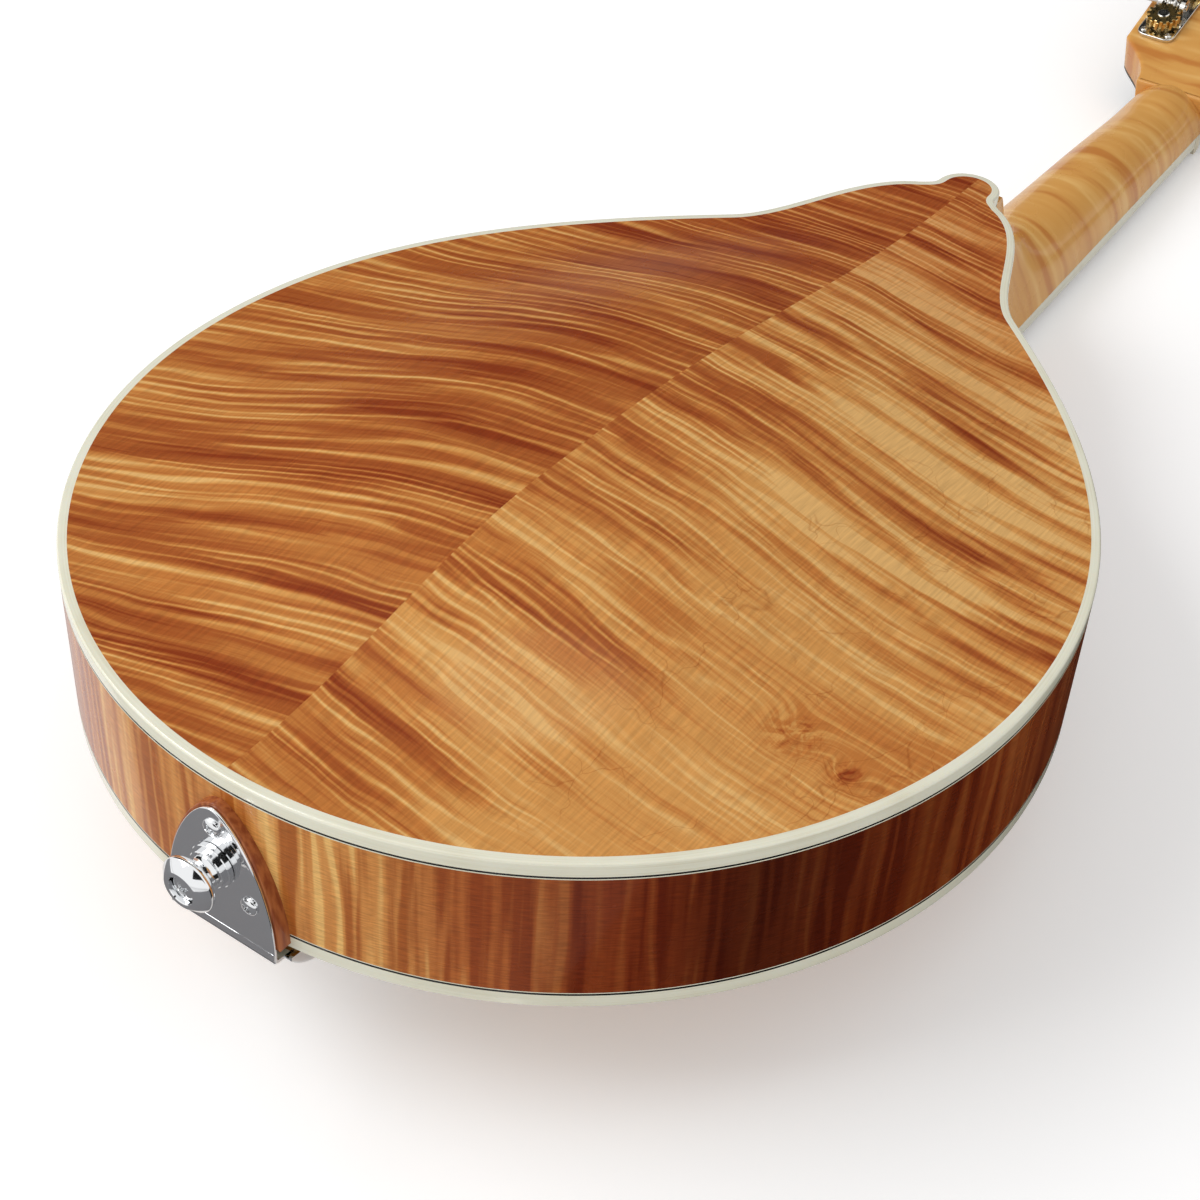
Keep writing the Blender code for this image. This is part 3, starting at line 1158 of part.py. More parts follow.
def build_tuners():
    """Eight machines: posts with gears turn upright, worm shafts with their buttons lie across."""
    posts, knobs = post_mesh(), knob_mesh()
    level = gear_level()
    for side, label, x, y in post_places():
        place("tuner_post_" + label, posts, CHROME, HEAD @ Matrix.Translation((x, y, 0)))
        outward = Matrix() if side > 0 else Matrix.Rotation(pi, 4, "Y")
        place("tuner_knob_" + label, knobs, PEARL,
              HEAD @ Matrix.Translation((x, y + WORM_CENTRE_DISTANCE, level)) @ outward)
    for side, label in ((1, "bass"), (-1, "treble")):
        build_tuner_plate(side, label)


# Setting down


def rest_on_floor():
    """Tilts the instrument on to its saddle and first posts, and centres it over the origin."""
    saddle = Vector((0, BRIDGE_Y, SADDLE_CREST_Z - STRING_PROUD))
    post_tip = HEAD @ Vector((0, FIRST_POST - POST_DIAMETER / 3, -POST_STAND))
    tilt = atan2(post_tip.z - saddle.z, post_tip.y - saddle.y)
    INSTRUMENT.rotation_euler = (-tilt, 0, 0)
    bpy.context.view_layer.update()
    depsgraph = bpy.context.evaluated_depsgraph_get()
    low, high = Vector((9, 9, 9)), Vector((-9, -9, -9))
    for piece in PARTS.objects:
        if piece.type != "MESH":
            continue
        evaluated = piece.evaluated_get(depsgraph)
        for vert in evaluated.data.vertices:
            corner = evaluated.matrix_world @ vert.co
            low = Vector(map(min, low, corner))
            high = Vector(map(max, high, corner))
    INSTRUMENT.location = (-(low.x + high.x) / 2, -(low.y + high.y) / 2, -low.z)


build_plates()
RIM = build_bands()
TAIL_BLOCK = build_blocks(build_linings())
build_top_brace()
build_veneer(build_neck())
build_truss_rod()
build_fingerboard()
build_nut()
build_bridge()
build_tailpiece(RIM, TAIL_BLOCK)
build_strap_button()
build_strings()
build_tuners()
rest_on_floor()
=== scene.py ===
"""An a-style mandolin lying on its strings with its back up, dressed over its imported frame.

Sizes are in metres. Wooden pieces are worked out in the instrument frame: x across, towards the bass
side; y from the tail along the body; z from the front to the back, with z = 0 on the front edge.
"""

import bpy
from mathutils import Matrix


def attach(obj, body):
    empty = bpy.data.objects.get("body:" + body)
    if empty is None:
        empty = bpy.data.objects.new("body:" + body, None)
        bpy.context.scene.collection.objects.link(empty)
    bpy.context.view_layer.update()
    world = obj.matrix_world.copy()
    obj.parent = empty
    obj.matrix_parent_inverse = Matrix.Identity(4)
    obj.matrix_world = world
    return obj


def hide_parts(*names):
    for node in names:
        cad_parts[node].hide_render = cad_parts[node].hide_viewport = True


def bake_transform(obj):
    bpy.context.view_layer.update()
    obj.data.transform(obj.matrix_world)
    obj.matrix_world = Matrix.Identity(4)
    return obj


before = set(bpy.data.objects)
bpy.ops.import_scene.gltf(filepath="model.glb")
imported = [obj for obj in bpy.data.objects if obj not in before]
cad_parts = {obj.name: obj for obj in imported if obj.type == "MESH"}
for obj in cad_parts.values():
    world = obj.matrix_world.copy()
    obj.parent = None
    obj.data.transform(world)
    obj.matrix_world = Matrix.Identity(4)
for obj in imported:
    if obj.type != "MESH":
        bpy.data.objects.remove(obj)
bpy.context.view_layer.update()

from math import cos, pi, radians, sin, tan

import bmesh
import bpy
import numpy as np
from mathutils import Matrix, Vector


# HOW IT LIES
# The mandolin rests on its saddle and the tips of its first string posts, back up, which tips the
# whole body by under four degrees. This frame takes each piece from the instrument to that place.

TILT = 0.06401337
REST = (0, -0.323873162, 0.041567374)
lying = Matrix.Translation(REST) @ Matrix.Rotation(-TILT, 4, "X")


def moved(points, place):
    """Points turned by a frame's first three columns and shifted by its last."""
    place = np.array(place)
    return np.asarray(points, float) @ place[:3, :3].T + place[:3, 3]


# CAMERA
# It stands off the tail on the bass side, some 48 cm from the body, and looks down on the back.
# Its lens matches the photograph's perspective, and the frame is square.

eye = np.array((0.2395, -0.2209, 0.3560))
heading, dip, roll = radians(-33.44), radians(39.20), radians(3.42)
ahead = np.array((sin(heading) * cos(dip), cos(heading) * cos(dip), -sin(dip)))
level = np.array((cos(heading), -sin(heading), 0))
above = np.cross(level, ahead)
camera_place = np.eye(4)
camera_place[:3, 0] = cos(roll) * level + sin(roll) * above
camera_place[:3, 1] = cos(roll) * above - sin(roll) * level
camera_place[:3, 2] = -ahead
camera_place[:3, 3] = eye
camera = bpy.data.objects.new("camera", bpy.data.cameras.new("camera"))
camera.data.sensor_width = 36
camera.data.lens = 62.82
camera.data.clip_start, camera.data.clip_end = 0.01, 20
camera.matrix_world = lying @ Matrix(camera_place.tolist())
bpy.context.scene.collection.objects.link(camera)
bpy.context.scene.camera = camera
bpy.context.scene.view_settings.view_transform = "Standard"


# FLOOR AND LIGHT
# A plain white table in a white surround. One broad lamp stands over the tail on the treble side.
# Three black cards and a grey one, seen only in reflections, keep glare off the lacquer and draw the chrome.


def feed(tree, socket, value):
    """Links an output to a socket, or sets the socket to a plain value."""
    if isinstance(value, bpy.types.NodeSocket):
        tree.links.new(value, socket)
    else:
        socket.default_value = value


def put(tree, kind, *inputs, out=0, **words):
    """Adds a node. Inputs fill its sockets in order, and words fill named sockets or properties."""
    node = tree.nodes.new("ShaderNode" + kind)
    for word, value in words.items():
        if hasattr(node, word):
            setattr(node, word, value)
        else:
            feed(tree, node.inputs[word.replace("_", " ")], value)
    for socket, value in zip(node.inputs, inputs):
        if value is not None:
            feed(tree, socket, value)
    return node.outputs[out]


def shaded(name, **sockets):
    """A new material with one Principled shader, and its tree with that shader's sockets to fill."""
    made = bpy.data.materials.new(name)
    made.use_nodes = True
    shader = made.node_tree.nodes["Principled BSDF"]
    for socket, value in sockets.items():
        feed(made.node_tree, shader.inputs[socket.replace("_", " ")], value)
    return made, made.node_tree, shader.inputs


table_white, tree, shader = shaded("table_white", Base_Color=(0.93, 0.93, 0.93, 1), Roughness=0.9,
                                   Specular_IOR_Level=0.1, Emission_Color=(1, 1, 1, 1))
feed(tree, shader["Emission Strength"], put(tree, "Math", put(tree, "LightPath", out=0), 0.24,
                                            operation="MULTIPLY"))
floor_mesh = bpy.data.meshes.new("floor")
floor_mesh.from_pydata([(-5, -5, 0), (5, -5, 0), (5, 5, 0), (-5, 5, 0)], [], [(0, 1, 2, 3)])
floor_mesh.materials.append(table_white)
floor = bpy.data.objects.new("floor", floor_mesh)
bpy.context.scene.collection.objects.link(floor)

surround = bpy.data.worlds.new("surround")
surround.use_nodes = True
bpy.context.scene.world = surround
sky = surround.node_tree
rays = sky.nodes.new("ShaderNodeLightPath").outputs
seen = put(sky, "Math", rays["Is Camera Ray"], rays["Is Glossy Ray"], operation="MAXIMUM")
seen = put(sky, "Math", seen, rays["Is Transmission Ray"], operation="MAXIMUM")
lit = put(sky, "Math", seen, 0.38, 0.62, operation="MULTIPLY_ADD")
sky.nodes["Background"].inputs["Color"].default_value = (1, 1, 1, 1)
sky.links.new(lit, sky.nodes["Background"].inputs["Strength"])


def lamp(name, place, target, size, power):
    """A rectangular lamp of this width and height that faces a target."""
    light = bpy.data.lights.new(name, "AREA")
    light.shape = "RECTANGLE"
    light.size, light.size_y = size
    light.energy = power
    made = bpy.data.objects.new(name, light)
    made.location = place
    made.rotation_euler = (Vector(target) - Vector(place)).to_track_quat("-Z", "Y").to_euler()
    bpy.context.scene.collection.objects.link(made)


lamp("broad_lamp", (-1.1, -0.9, 1.5), (0, -0.1, 0.05), (1.4, 1.0), 18)

card_black, _, _ = shaded("card_black", Base_Color=(0.02, 0.02, 0.02, 1), Roughness=0.9,
                          Specular_IOR_Level=0.0)
card_grey, _, _ = shaded("card_grey", Base_Color=(0.24, 0.24, 0.25, 1), Roughness=0.9, Specular_IOR_Level=0.0)
for name, finish, corners in (
        ("card_beyond", card_black, [(-2.6, 0.2, 0.10), (0.9, 1.5, 0.10), (0.9, 1.5, 2.6), (-2.6, 0.2, 2.6)]),
        ("card_beside", card_black, [(0.08, -0.335, 0.003), (0.90, -0.335, 0.003), (0.90, 1.30, 0.003),
                                     (0.08, 1.30, 0.003)]),
        ("card_behind", card_black, [(0.15, -1.25, 0.45), (1.10, -0.55, 0.45), (1.00, -0.40, 1.30),
                                     (0.05, -1.10, 1.30)]),
        ("card_before", card_grey, [(-0.60, -0.62, 0.003), (0.90, -0.62, 0.003), (0.90, -0.335, 0.003),
                                    (-0.60, -0.335, 0.003)])):
    sheet = bpy.data.meshes.new(name)
    sheet.from_pydata(corners, [], [(0, 1, 2, 3)])
    sheet.materials.append(finish)
    card = bpy.data.objects.new(name, sheet)
    card.visible_camera = card.visible_diffuse = card.visible_shadow = False
    bpy.context.scene.collection.objects.link(card)


# OUTLINE OF THE BODY
# The maker bends the rim round a mould of this shape: a wide round bout at the tail, drawn in by two
# long shoulders to a small nose at the neck. A quarter ellipse and two Bezier curves make each half.

WIDTH, LENGTH, BOUT = 0.254, 0.3355, 0.131
DEPTH = 0.0445
TOP_EDGE, BACK_EDGE = 0.0044, 0.0035  # how thick both plates are at their edges


def bezier(start, handle, next_handle, end, count):
    """Points on a cubic Bezier curve: the four points weighted by (1-t)^3, 3t(1-t)^2, 3t^2(1-t), t^3."""
    t = np.linspace(0, 1, count)[:, None]
    start, handle, next_handle, end = map(np.array, (start, handle, next_handle, end))
    return ((1 - t) ** 3 * start + 3 * t * (1 - t) ** 2 * handle
            + 3 * t**2 * (1 - t) * next_handle + t**3 * end)


def lengths(points):
    """How far along a line each of its points lies."""
    return np.append(0, np.cumsum(np.linalg.norm(np.diff(points, axis=0), axis=1)))


def unit(rows):
    """Each row made one long."""
    return rows / np.linalg.norm(rows, axis=1)[:, None]


def half_body():
    """The right half: x = a sin t, y = b (1 - cos t) to the widest place, then the two Beziers."""
    t = np.linspace(0, pi / 2, 90)
    bout = np.column_stack([WIDTH / 2 * np.sin(t), BOUT * (1 - np.cos(t))])
    lean = np.array((-sin(radians(47.3)), cos(radians(47.3))))
    shoulder = np.array((0.0484, 0.275))
    flank = bezier(bout[-1], (WIDTH / 2, BOUT + 0.066), shoulder - 0.0516 * lean, shoulder, 90)
    nose = bezier(shoulder, shoulder + 0.0225 * lean, (0.0324, LENGTH), (0, LENGTH), 70)
    return np.concatenate([bout[:-1], flank[:-1], nose])


def half_body_with_button():
    """The same half, run out along the centre line round the small tongue that covers the heel."""
    half = half_body()
    half = half[(half[:, 0] > 0.0135) | (half[:, 1] < BOUT)]
    centre = LENGTH + 0.0025
    corner = bezier(half[-1], (0.0112, 0.3345), (0.0100, 0.3347), (0.0100, centre), 9)[1:-1]
    t = np.linspace(0, pi / 2, 14)
    return np.concatenate([half, corner, np.column_stack([0.010 * np.cos(t), centre + 0.010 * np.sin(t)])])


def round_trip(half, count):
    """Both halves as one closed line of evenly spaced points, with its length so far and its outward
    normals. It starts and ends at the tail, so its first point is repeated as its last."""
    line = np.concatenate([half, half[-2::-1] * (-1, 1)])
    run = lengths(line)
    even = np.linspace(0, run[-1], count)
    line = np.column_stack([np.interp(even, run, line[:, k]) for k in (0, 1)])
    ahead = np.roll(line[:-1], -1, axis=0) - np.roll(line[:-1], 1, axis=0)
    ahead = unit(np.append(ahead, ahead[:1], axis=0))
    return line, even, np.column_stack([ahead[:, 1], -ahead[:, 0]])


RIGHT_SIDE = half_body()
BODY, BODY_RUN, BODY_OUT = round_trip(RIGHT_SIDE, 721)
BACK, BACK_RUN, BACK_OUT = round_trip(half_body_with_button(), 861)


def arch(x, y, rise):
    """Height of a carved plate over its edge: rise times a profile along times one across.

    Along the seam it climbs in half a cosine wave from the tail to a level crown, and falls in a longer
    one to the neck. Across, it falls in half a cosine wave from the seam to a flat border.
    """
    half_width = np.interp(y, RIGHT_SIDE[:, 1], RIGHT_SIDE[:, 0])
    climb = np.clip((y - 0.004) / 0.108, 0, 1)
    fall = np.clip((y - 0.140) / 0.180, 0, 1)
    across = np.clip((np.abs(x) / np.maximum(half_width, 0.0001) - 0.12) / 0.83, 0, 1)
    return rise * (1 - np.cos(pi * climb)) * (1 + np.cos(pi * fall)) * (1 + np.cos(pi * across)) / 8


# BACK
# Two bookmatched halves of flamed maple, joined on the centre line, carved to an arch 15 mm high and
# 3.5 mm thick, with a round button over the heel. Stained amber and red, then lacquered to a gloss.

BINDING = 0.0025  # how wide the strip round each plate is


def grid_piece(name, patches, finishes, body="instrument", at=lying, closed=True, sharp=35):
    """Joins patches into one named mesh that moves with a body.

    A patch is a grid of points, the number of its finish, and (u, v) at each point if it has any.
    Neighbouring points of a grid make its faces, doubles are welded, and faces turn outwards.
    """
    points, faces, marks, uvs, start = [], [], [], [], 0
    for patch in patches:
        grid, finish = np.asarray(patch[0], float), patch[1]
        rows, columns = grid.shape[:2]
        index = start + np.arange(rows * columns).reshape(rows, columns)
        corners = (index[:-1, :-1], index[1:, :-1], index[1:, 1:], index[:-1, 1:])
        faces.append(np.stack(corners, -1).reshape(-1, 4))
        marks.append(np.full(len(faces[-1]), finish))
        points.append(grid.reshape(-1, 3))
        uvs.append(np.asarray(patch[2], float).reshape(-1, 2) if len(patch) > 2 else points[-1][:, :2])
        start += rows * columns
    points, faces, uvs = np.concatenate(points), np.concatenate(faces), np.concatenate(uvs)
    mesh = bpy.data.meshes.new(name)
    mesh.from_pydata(moved(points, at).tolist(), [], faces.tolist())
    mesh.polygons.foreach_set("material_index", np.concatenate(marks).astype(np.int32))
    layer = mesh.uv_layers.new(name="lie")
    layer.data.foreach_set("uv", uvs[faces.reshape(-1)].astype(np.float32).reshape(-1))
    work = bmesh.new()
    work.from_mesh(mesh)
    bmesh.ops.remove_doubles(work, verts=work.verts, dist=0.000001)
    bmesh.ops.dissolve_degenerate(work, edges=work.edges, dist=0.0000001)
    if closed:
        bmesh.ops.recalc_face_normals(work, faces=work.faces)
    work.to_mesh(mesh)
    work.free()
    mesh.shade_smooth()
    mesh.set_sharp_from_angle(angle=radians(sharp))
    for finish in finishes:
        mesh.materials.append(finish)
    made = bpy.data.objects.new(name, mesh)
    bpy.context.scene.collection.objects.link(made)
    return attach(made, body) if body else made


def grid_of(x, y, z):
    """One grid of points from x, y and z that fit together."""
    return np.stack(np.broadcast_arrays(x, y, z), -1)


def calc(tree, operation, *inputs):
    """A node that does one sum."""
    return put(tree, "Math", *inputs, operation=operation)


def times(tree, *values):
    """Values multiplied together."""
    made = values[0]
    for value in values[1:]:
        made = calc(tree, "MULTIPLY", made, value)
    return made


def linear(tree, value, factor, shift):
    """value x factor + shift."""
    return calc(tree, "MULTIPLY_ADD", value, factor, shift)


def total(tree, first, second):
    """first + second."""
    return calc(tree, "ADD", first, second)


def less(tree, value, loss):
    """value - loss."""
    return calc(tree, "SUBTRACT", value, loss)


def blended(tree, factor, first, second, way="MIX"):
    """Two colours mixed by a factor."""
    node = tree.nodes.new("ShaderNodeMix")
    node.data_type, node.blend_type = "RGBA", way
    for index, value in ((0, factor), (6, first), (7, second)):
        feed(tree, node.inputs[index], value)
    return node.outputs[2]


def steps(tree, factor, *stops):
    """A colour ramp through stops of (place, colour), eased between them."""
    node = tree.nodes.new("ShaderNodeValToRGB")
    band = node.color_ramp
    band.interpolation = "EASE"
    band.elements[0].position, band.elements[0].color = stops[0][0], (*stops[0][1], 1)
    band.elements[1].position, band.elements[1].color = stops[-1][0], (*stops[-1][1], 1)
    for place, colour in stops[1:-1]:
        band.elements.new(place).color = (*colour, 1)
    feed(tree, node.inputs["Fac"], factor)
    return node.outputs["Color"]


def group(name, inputs, outputs):
    """An empty node group with these named sockets, as its tree, its input node and its output node."""
    tree = bpy.data.node_groups.new(name, "ShaderNodeTree")
    for socket, kind in inputs.items():
        tree.interface.new_socket(socket, in_out="INPUT", socket_type="NodeSocket" + kind)
    for socket, kind in outputs.items():
        tree.interface.new_socket(socket, in_out="OUTPUT", socket_type="NodeSocket" + kind)
    return tree, tree.nodes.new("NodeGroupInput").outputs, tree.nodes.new("NodeGroupOutput").inputs


def use(tree, name, **inputs):
    """A node of that group in a material, with its inputs filled, as its outputs."""
    node = tree.nodes.new("ShaderNodeGroup")
    node.node_tree = bpy.data.node_groups[name]
    for socket, value in inputs.items():
        feed(tree, node.inputs[socket.replace("_", " ")], value)
    return node.outputs


def apart(tree, vector):
    """The x, y and z of a place."""
    parts = tree.nodes.new("ShaderNodeSeparateXYZ")
    feed(tree, parts.inputs[0], vector)
    return parts.outputs


def scaled(tree, vector, across, along, lift=0.0):
    """A place stretched by its own scale in x and in y, for a pattern with a direction."""
    x, y, _ = apart(tree, vector)
    return put(tree, "CombineXYZ", times(tree, x, across), times(tree, y, along), lift)


def streaks(tree, place, across, along, detail=2.0, seed=0.0):
    """Noise drawn out along x or y, between about 0.3 and 0.7."""
    return put(tree, "TexNoise", scaled(tree, place, across, along, seed), Scale=1.0, Detail=detail)


def grit(tree, scale, detail, **more):
    """Even noise all through a piece."""
    return put(tree, "TexNoise", put(tree, "TexCoord", out=3), Scale=scale, Detail=detail, **more)


def ranged(tree, value, low, high, first, last):
    """Goes evenly from first to last as a value goes from low to high, and stays there."""
    return put(tree, "MapRange", value, low, high, first, last)


def between(tree, value, low, high, first=0.0, last=1.0):
    """As ranged, but easing in and out."""
    return put(tree, "MapRange", value, low, high, first, last, interpolation_type="SMOOTHSTEP")


# Flame: curled fibres catch the light as thin bright lines between broad bands, square to the grain.
# Place holds (along the lines, across them).
# Line = (0.5 + 0.5 cos(2 pi (y Lines + 5 noise)))^3, faded by another noise.
flame, given, result = group(
    "flame_figure",
    {"Place": "Vector", "Bands": "Float", "Lines": "Float", "Length": "Float", "Wander": "Float",
     "Seed": "Float"},
    {"Band": "Float", "Line": "Float", "Thread": "Float", "Pore": "Float"})
drift = put(flame, "TexNoise", given["Place"], Scale=22.0, Detail=3.0)
drift = times(flame, less(flame, drift, 0.5), given["Wander"])
bent = put(flame, "VectorMath", given["Place"], put(flame, "CombineXYZ", 0.0, drift, 0.0), operation="ADD")
sideways = calc(flame, "DIVIDE", 1.0, given["Length"])
other = [total(flame, given["Seed"], k) for k in (5.3, 9.7, 14.1, 18.5)]
feed(flame, result["Band"], streaks(flame, bent, sideways, given["Bands"], seed=given["Seed"]))
feed(flame, result["Thread"], streaks(flame, bent, times(flame, sideways, 3.0),
                                      times(flame, given["Lines"], 3.1), seed=other[3]))
waver = streaks(flame, bent, times(flame, sideways, 0.9), times(flame, given["Lines"], 0.20),
                seed=other[0])
phase = linear(flame, apart(flame, bent)[1], given["Lines"], times(flame, waver, 5.0))
crest = linear(flame, calc(flame, "COSINE", times(flame, phase, 2 * pi)), 0.5, 0.5)
faded = streaks(flame, bent, times(flame, sideways, 1.8), times(flame, given["Lines"], 0.45),
                seed=other[1])
faded = ranged(flame, faded, 0.38, 0.60, 0.0, 1.0)
feed(flame, result["Line"], times(flame, calc(flame, "POWER", crest, 3.0), faded))
feed(flame, result["Pore"], streaks(flame, given["Place"], 1400.0, 55.0, seed=other[2]))

# Lacquer: a hand-rubbed gloss with a faint ripple and slightly duller patches.
gloss, given, result = group("rubbed_lacquer", {"Place": "Vector", "Dull": "Float"},
                             {"Roughness": "Float", "Height": "Float"})
patch = put(gloss, "TexNoise", given["Place"], Scale=45.0, Detail=4.0)
haze = put(gloss, "TexNoise", given["Place"], Scale=900.0, Detail=2.0)
feed(gloss, result["Roughness"], linear(gloss, patch, 0.10, given["Dull"]))
feed(gloss, result["Height"], linear(gloss, haze, 0.15, patch))

# Place on the instrument: undoes how it lies, so that a pattern follows its centre line.
place_group, given, result = group("instrument_place", {}, {"Place": "Vector"})
row_place = put(place_group, "TexCoord", out=3)
spun = put(place_group, "VectorRotate", Vector=row_place, rotation_type="X_AXIS", Center=(0, 0, 0),
           Angle=TILT)
origin = Matrix.Rotation(TILT, 4, "X") @ -Vector(REST)
feed(place_group, result["Place"], put(place_group, "VectorMath", spun, tuple(origin), operation="ADD"))


def lacquered(tree, inputs, place, dull=0.10, depth=0.00004, strength=0.25):
    """Gives a shader the rubbed lacquer: its roughness, its coat and its ripple."""
    rubbed = use(tree, "rubbed_lacquer", Place=place, Dull=dull)
    feed(tree, inputs["Roughness"], total(tree, rubbed["Roughness"], 0.12))
    inputs["Coat Weight"].default_value = 0.28
    inputs["Coat Roughness"].default_value = 0.07
    inputs["Specular IOR Level"].default_value = 0.2
    bump = put(tree, "Bump", Height=rubbed["Height"], Strength=strength, Distance=depth)
    feed(tree, inputs["Normal"], bump)


back_maple, tree, shader = shaded("back_maple")
place = use(tree, "instrument_place")["Place"]
x, y, _ = apart(tree, place)
off_seam = calc(tree, "ABSOLUTE", x)
treble = calc(tree, "LESS_THAN", x, 0.0)

# Two knots in the plain part of the bass half push the flame aside and swirl: e^(-(d / size)^2) round each.
swirl = None
for knot, size in (((0.090, 0.085), 0.0060), ((0.1050, 0.0825), 0.0035)):
    gap = put(tree, "VectorMath", put(tree, "CombineXYZ", x, y, 0.0), (*knot, 0), operation="DISTANCE", out=1)
    near = calc(tree, "EXPONENT", times(tree, gap, gap, -1 / size**2))
    swirl = near if swirl is None else calc(tree, "MAXIMUM", swirl, near)

# The lines rise to the seam below y = 0.20 on the treble half, level out above and sag towards the edge.
# On the bass half they fall away from the seam.
rise = times(tree, between(tree, y, 0.06, 0.21, 0.20, 0.03), off_seam)
sag = times(tree, off_seam, off_seam, 0.75)
treble_across = total(tree, total(tree, rise, y), sag)
bass_across = total(tree, linear(tree, off_seam, 0.17, y), times(tree, off_seam, off_seam, -0.65))
bass_across = linear(tree, swirl, 0.006, bass_across)
treble_figure = use(tree, "flame_figure", Place=put(tree, "CombineXYZ", off_seam, treble_across, 0.0),
                    Bands=95.0, Lines=285.0, Length=0.110, Wander=0.005, Seed=3.0)
bass_place = put(tree, "CombineXYZ", off_seam, bass_across, 0.0)
bass_figure = use(tree, "flame_figure", Place=bass_place, Bands=120.0, Lines=320.0, Length=0.075,
                  Wander=0.006, Seed=7.4)

treble_shade = linear(tree, treble_figure["Line"], 0.55, linear(tree, treble_figure["Band"], 1.7, -0.62))
treble_shade = total(tree, treble_shade, between(tree, off_seam, 0.03, 0.10, 0.0, 0.10))
treble_shade = linear(tree, treble_figure["Thread"], 0.55, treble_shade)
# Painted shade: the treble half's flame looks darker in this light, so the whole half is darkened, more
# towards the neck.
treble_shade = total(tree, treble_shade, between(tree, y, 0.0, 0.16, -0.16, -0.24))

outer_part = between(tree, linear(tree, bass_figure["Band"], 0.02, off_seam), 0.030, 0.075)
plain = times(tree, between(tree, off_seam, 0.042, 0.070), between(tree, y, 0.135, 0.095))
rippled = times(tree, between(tree, off_seam, 0.035, 0.075), between(tree, y, 0.10, 0.14),
                between(tree, y, 0.29, 0.24))
ripple = calc(tree, "COSINE", times(tree, linear(tree, bass_figure["Band"], 0.022, bass_across),
                                    2 * pi / 0.0085))
lines = times(tree, bass_figure["Line"], linear(tree, outer_part, -0.28, 0.52))
bands = times(tree, less(tree, bass_figure["Band"], 0.5), linear(tree, plain, -1.2, 1.7),
              between(tree, y, 0.14, 0.22, 1.0, 1.5))
bass_shade = total(tree, linear(tree, outer_part, 0.20, 0.46), total(tree, lines, bands))
bass_shade = linear(tree, times(tree, rippled, less(tree, ripple, 0.35)), 0.21, bass_shade)
bass_shade = linear(tree, less(tree, bass_figure["Thread"], 0.5), 0.5, bass_shade)
bass_shade = linear(tree, plain, 0.06, bass_shade)
pale = times(tree, between(tree, off_seam, 0.015, 0.045), between(tree, y, 0.10, 0.15),
             between(tree, y, 0.27, 0.22), between(tree, off_seam, 0.11, 0.09))
bass_shade = linear(tree, pale, 0.13, bass_shade)
bass_shade = total(tree, bass_shade, between(tree, off_seam, 0.085, 0.115, 0.0, -0.12))
eddy = put(tree, "TexNoise", put(tree, "CombineXYZ", x, y, 0.0), Scale=130.0, Detail=3.0, Distortion=2.5)
bass_shade = linear(tree, times(tree, swirl, less(tree, eddy, 0.62)), 1.9, bass_shade)

shade = total(tree, times(tree, treble, treble_shade), times(tree, less(tree, 1.0, treble), bass_shade))
colour = steps(tree, shade, (0.02, (0.270, 0.042, 0.008)), (0.27, (0.400, 0.100, 0.020)),
               (0.50, (0.555, 0.195, 0.042)),
               (0.74, (0.690, 0.320, 0.085)), (0.98, (0.800, 0.460, 0.160)))
nose_stain = between(tree, y, 0.20, 0.30, 0.0, 0.55)
colour = blended(tree, nose_stain, colour, (0.86, 0.62, 0.62, 1), "MULTIPLY")
# Fine wandering lines, like dried cracks, are the edges of stretched cells, out on the bass half.
cell_place = put(tree, "VectorMath", put(tree, "CombineXYZ", x, y, 0.0),
                 put(tree, "VectorMath", put(tree, "TexNoise", place, Scale=70.0, Detail=2.5, out=1),
                     (0.022, 0.022, 0.0),
                     operation="MULTIPLY"), operation="ADD")
cells = put(tree, "TexVoronoi", scaled(tree, cell_place, 75.0, 55.0), Scale=1.0, feature="DISTANCE_TO_EDGE")
shown = ranged(tree, put(tree, "TexNoise", place, Scale=60.0, Detail=2.0), 0.46, 0.60, 0.0, 1.0)
crack = times(tree, ranged(tree, cells, 0.0, 0.016, 1.0, 0.0), between(tree, off_seam, 0.045, 0.06), shown,
              less(tree, 1.0, treble))
colour = blended(tree, times(tree, crack, 0.5), colour, (0.62, 0.42, 0.30, 1), "MULTIPLY")
pores = ranged(tree, streaks(tree, place, 1500.0, 90.0, 2.0), 0.32, 0.68, 0.86, 1.08)
colour = blended(tree, 1.0, colour, put(tree, "CombineColor", pores, pores, pores), "MULTIPLY")
feed(tree, shader["Base Color"], colour)
lacquered(tree, shader, place)

bare_maple, tree, shader = shaded("bare_maple", Roughness=0.75)
place = use(tree, "instrument_place")["Place"]
figure = use(tree, "flame_figure", Place=place, Bands=130.0, Lines=230.0, Length=0.09, Wander=0.01, Seed=1.0)
feed(tree, shader["Base Color"], steps(tree, figure["Band"], (0.3, (0.50, 0.36, 0.20)),
                                       (0.7, (0.66, 0.52, 0.33))))


def plate_rings(outline, outward, edge, centre, shares):
    """Rings that close in on a centre: each is the edge line moved towards it by a share."""
    rim_line = outline - outward * edge
    return np.array([centre + (1 - share) * (rim_line - centre) for share in shares])


shares = 1 - np.linspace(1, 0, 57) ** 1.25
rings = plate_rings(BACK, BACK_OUT, BINDING, np.array((0, 0.126)), shares)
height = arch(rings[..., 0], rings[..., 1], 0.0146)
outer = np.concatenate([rings, (DEPTH + height)[..., None]], -1)
inner = np.concatenate([rings, (DEPTH - BACK_EDGE + height)[..., None]], -1)
back = grid_piece("back_plate", [(outer, 0), (np.stack([outer[0], inner[0]]), 1), (inner, 1)],
                  [back_maple, bare_maple])
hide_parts("back")


# BINDING
# Strips of cream ivoroid let into the edges of back and top, 2.5 mm wide, scraped flush and rounded over.
# A thin black and a thin cream strip under each, against the rim, draw the lines that run round the body.

